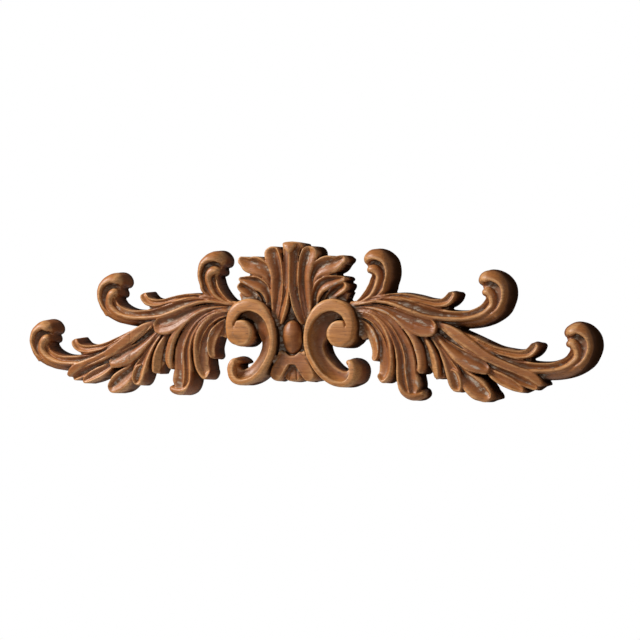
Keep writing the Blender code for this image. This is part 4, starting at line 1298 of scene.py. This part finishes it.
@dataclass(frozen=True)
class CarvedWood:
    """Red-brown stained wood under an old soft wax polish, with painted shade in its recesses and on its
    walls, and a painted highlight on its raised faces.
    """

    body: Colour = (0.300, 0.100, 0.027)
    dark_band: Colour = (0.170, 0.052, 0.012)
    red: Colour = (0.240, 0.070, 0.018)
    # Colour of the painted highlight on the broad raised faces.
    painted_highlight: Colour = (0.425, 0.166, 0.046)
    worn: Colour = (0.66, 0.36, 0.150)
    scroll: Colour = (0.50, 0.212, 0.060)
    # Colour of the painted shade in grooves and hollows.
    recess_shade: Colour = (0.076, 0.026, 0.008)
    pore: Colour = (0.058, 0.021, 0.007)
    # Dark colour for dirt mixed with painted shade on walls and in hollows, and for the real stains.
    grime_and_shade: Colour = (0.030, 0.012, 0.005)
    film: Colour = (0.215, 0.140, 0.088)
    dust: Colour = (0.50, 0.43, 0.36)
    roughness: float = 0.46
    dusty_roughness: float = 0.85
    shine: float = 0.42
    dusty_shine: float = 0.04
    coat: float = 0.08
    bump_depth: float = 0.4

    def material(self) -> bpy.types.Material:
        """Builds the material.

        Returns:
            The polished wood.
        """
        material = bpy.data.materials.new("carved_wood_polished")
        material.use_nodes = True
        nodes = Nodes(material.node_tree)
        shader = material.node_tree.nodes["Principled BSDF"]
        vector = nodes.add("ShaderNodeTexCoord").outputs["Object"]
        grain = nodes.add("ShaderNodeGroup", node_tree=BoardGrain().group())
        nodes.put(grain.inputs["Vector"], vector)
        polish = nodes.add("ShaderNodeGroup", node_tree=OldPolish().group())
        nodes.put(polish.inputs["Vector"], vector)
        for name in ("Groove", "Hollow", "Crest", "Wall", "Front", "Wax"):
            nodes.put(polish.inputs[name], nodes.attribute(name.lower()))
        tone = nodes.mix(nodes.ramp(nodes.noise(vector, 17.0, 3.0), 0.38, 0.66), self.body, self.red)
        # The layers include a painted highlight on raised faces, painted shade in the recesses, and dirt
        # mixed with painted shade on the walls.
        layers = (
            (grain.outputs["Bands"], 0.55, self.dark_band), (nodes.attribute("raised"), 0.75, self.painted_highlight),
            (nodes.attribute("scroll"), 0.75, self.scroll), (polish.outputs["Recess_shade"], 0.8, self.recess_shade),
            (polish.outputs["Wear"], 0.6, self.worn), (grain.outputs["Fibres"], 0.42, self.dark_band),
            (grain.outputs["Pores"], 0.6, self.pore), (polish.outputs["Film"], 0.7, self.film),
            (polish.outputs["Grime_and_shade"], 0.92, self.grime_and_shade), (polish.outputs["Dust"], 0.66, self.dust),
            (nodes.attribute("stain"), 0.85, self.grime_and_shade))
        for mask, strength, colour in layers:
            tone = nodes.mix(nodes.math("MULTIPLY", mask, strength), tone, colour)
        nodes.put(shader.inputs["Base Color"], tone)
        dull = nodes.math("MAXIMUM", polish.outputs["Dust"], polish.outputs["Grime_and_shade"])
        dull = nodes.math("MAXIMUM", dull, polish.outputs["Film"])
        for name, full, ends in (("Roughness", 0.8, (self.roughness, self.dusty_roughness)),
                                 ("Specular IOR Level", 0.8, (self.shine, self.dusty_shine)),
                                 ("Coat Weight", 0.5, (self.coat, 0.0))):
            nodes.put(shader.inputs[name], nodes.ramp(dull, 0.0, full, ends))
        shader.inputs["Coat Roughness"].default_value = 0.3
        height = nodes.blend((grain.outputs["Fibres"], -0.35), (grain.outputs["Pores"], -0.8),
                             (nodes.noise(vector, 260.0, 3.0), 0.9), (polish.outputs["Dust"], 0.4))
        bump = nodes.add("ShaderNodeBump")
        bump.inputs["Strength"].default_value = 0.5
        bump.inputs["Distance"].default_value = self.bump_depth * MM
        nodes.put(bump.inputs["Height"], height)
        nodes.put(shader.inputs["Normal"], bump.outputs["Normal"])
        return material


@dataclass(frozen=True)
class PaleFloor:
    """Matt white studio floor."""

    colour: Colour = (0.92, 0.92, 0.91)

    def material(self) -> bpy.types.Material:
        """Builds the material.

        Returns:
            The floor's white.
        """
        material = bpy.data.materials.new("pale_floor")
        material.use_nodes = True
        shader = material.node_tree.nodes["Principled BSDF"]
        shader.inputs["Base Color"].default_value = (*self.colour, 1.0)
        shader.inputs["Roughness"].default_value = 0.95
        return material


# The studio


@dataclass(frozen=True)
class Lamp:
    """A soft rectangular lamp, placed in metres and aimed at the carving."""

    name: str
    place: Place
    power: float
    size: float
    colour: Colour = (1.0, 1.0, 1.0)

    def light(self) -> bpy.types.Object:
        """Adds the lamp.

        Returns:
            The lamp, aimed at the origin.
        """
        data = bpy.data.lights.new(self.name, "AREA")
        data.energy = self.power
        data.size = self.size
        data.color = self.colour
        lamp = bpy.data.objects.new(self.name, data)
        bpy.context.scene.collection.objects.link(lamp)
        lamp.location = self.place
        lamp.rotation_mode = "QUATERNION"
        lamp.rotation_quaternion = (-Vector(self.place)).to_track_quat("-Z", "Y")
        return lamp


@dataclass(frozen=True)
class Studio:
    """Camera, floor, lamps and the white surround."""

    bearing: float = 20.0
    distance: float = 1.86
    focal_pixels: float = 1421.8
    picture: float = 640.0
    middle: tuple[float, float] = (299.5, 320.0)
    roll: float = 0.27
    floor_at: float = -0.6
    floor_radius: float = 0.75
    surround: float = 1.0
    fill: float = 0.09
    lamps: tuple[Lamp, ...] = (
        Lamp("key_lamp", (-1.85, -1.2, 1.3), 92.0, 0.7, (1.0, 0.96, 0.91)),
        Lamp("front_lamp", (-0.2, -2.6, 0.5), 14.0, 1.6),
        Lamp("side_lamp", (2.2, -0.9, 1.1), 8.0, 1.4),
    )

    def camera(self) -> bpy.types.Object:
        """Sets the camera at the photograph's angle.

        Returns:
            The camera.
        """
        data = bpy.data.cameras.new("camera")
        data.sensor_width = 36.0
        data.lens = self.focal_pixels / self.picture * data.sensor_width
        data.shift_x = (self.picture / 2 - self.middle[0]) / self.picture
        data.shift_y = (self.middle[1] - self.picture / 2) / self.picture
        camera = bpy.data.objects.new("camera", data)
        bpy.context.scene.collection.objects.link(camera)
        angle = math.radians(self.bearing)
        camera.location = (self.distance * math.sin(angle), -self.distance * math.cos(angle), 0.0)
        camera.rotation_mode = "QUATERNION"
        level = (-camera.location).to_track_quat("-Z", "Y")
        camera.rotation_quaternion = level @ Quaternion((0, 0, 1), math.radians(self.roll))
        bpy.context.scene.camera = camera
        return camera

    def floor(self) -> bpy.types.Object:
        """Lays the floor below the carving.

        Returns:
            The floor.
        """
        bpy.ops.object.select_all(action="DESELECT")
        bpy.ops.mesh.primitive_circle_add(vertices=96, radius=self.floor_radius, fill_type="NGON")
        floor = bpy.context.object
        floor.name = floor.data.name = "floor"
        bpy.ops.transform.translate(value=(0, 0, self.floor_at))
        bpy.ops.object.transform_apply(location=True, rotation=True, scale=True)
        floor.data.materials.append(PaleFloor().material())
        return floor

    def world(self) -> None:
        """Surrounds the scene with white that the camera sees, and a dimmer fill that lights it."""
        world = bpy.data.worlds.new("surround")
        world.use_nodes = True
        bpy.context.scene.world = world
        nodes = Nodes(world.node_tree)
        world.node_tree.nodes.clear()
        seen = nodes.add("ShaderNodeBackground")
        seen.inputs["Strength"].default_value = self.surround
        lit = nodes.add("ShaderNodeBackground")
        lit.inputs["Strength"].default_value = self.fill
        for shade in (seen, lit):
            shade.inputs["Color"].default_value = (1.0, 1.0, 1.0, 1.0)
        blend = nodes.add("ShaderNodeMixShader")
        nodes.put(blend.inputs[0], nodes.add("ShaderNodeLightPath").outputs["Is Camera Ray"])
        nodes.link(lit.outputs[0], blend.inputs[1])
        nodes.link(seen.outputs[0], blend.inputs[2])
        nodes.link(blend.outputs[0], nodes.add("ShaderNodeOutputWorld").inputs[0])

    def set_up(self) -> None:
        """Builds the studio."""
        self.camera()
        self.floor()
        self.world()
        for lamp in self.lamps:
            lamp.light()
        bpy.context.scene.view_settings.view_transform = "Standard"
        LOG.info("studio is set")


def main() -> None:
    """Builds the studio and the carving, and puts the carving in the CAD solid's place."""
    logging.basicConfig(level=logging.INFO, format="%(name)s: %(message)s")
    Studio().set_up()
    carving = Carving().build()
    carving.data.materials.clear()
    carving.data.materials.append(CarvedWood().material())
    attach(carving, "root")
    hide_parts(NODE)
    LOG.info("the carving is dressed")


if __name__ == "__main__":
    main()
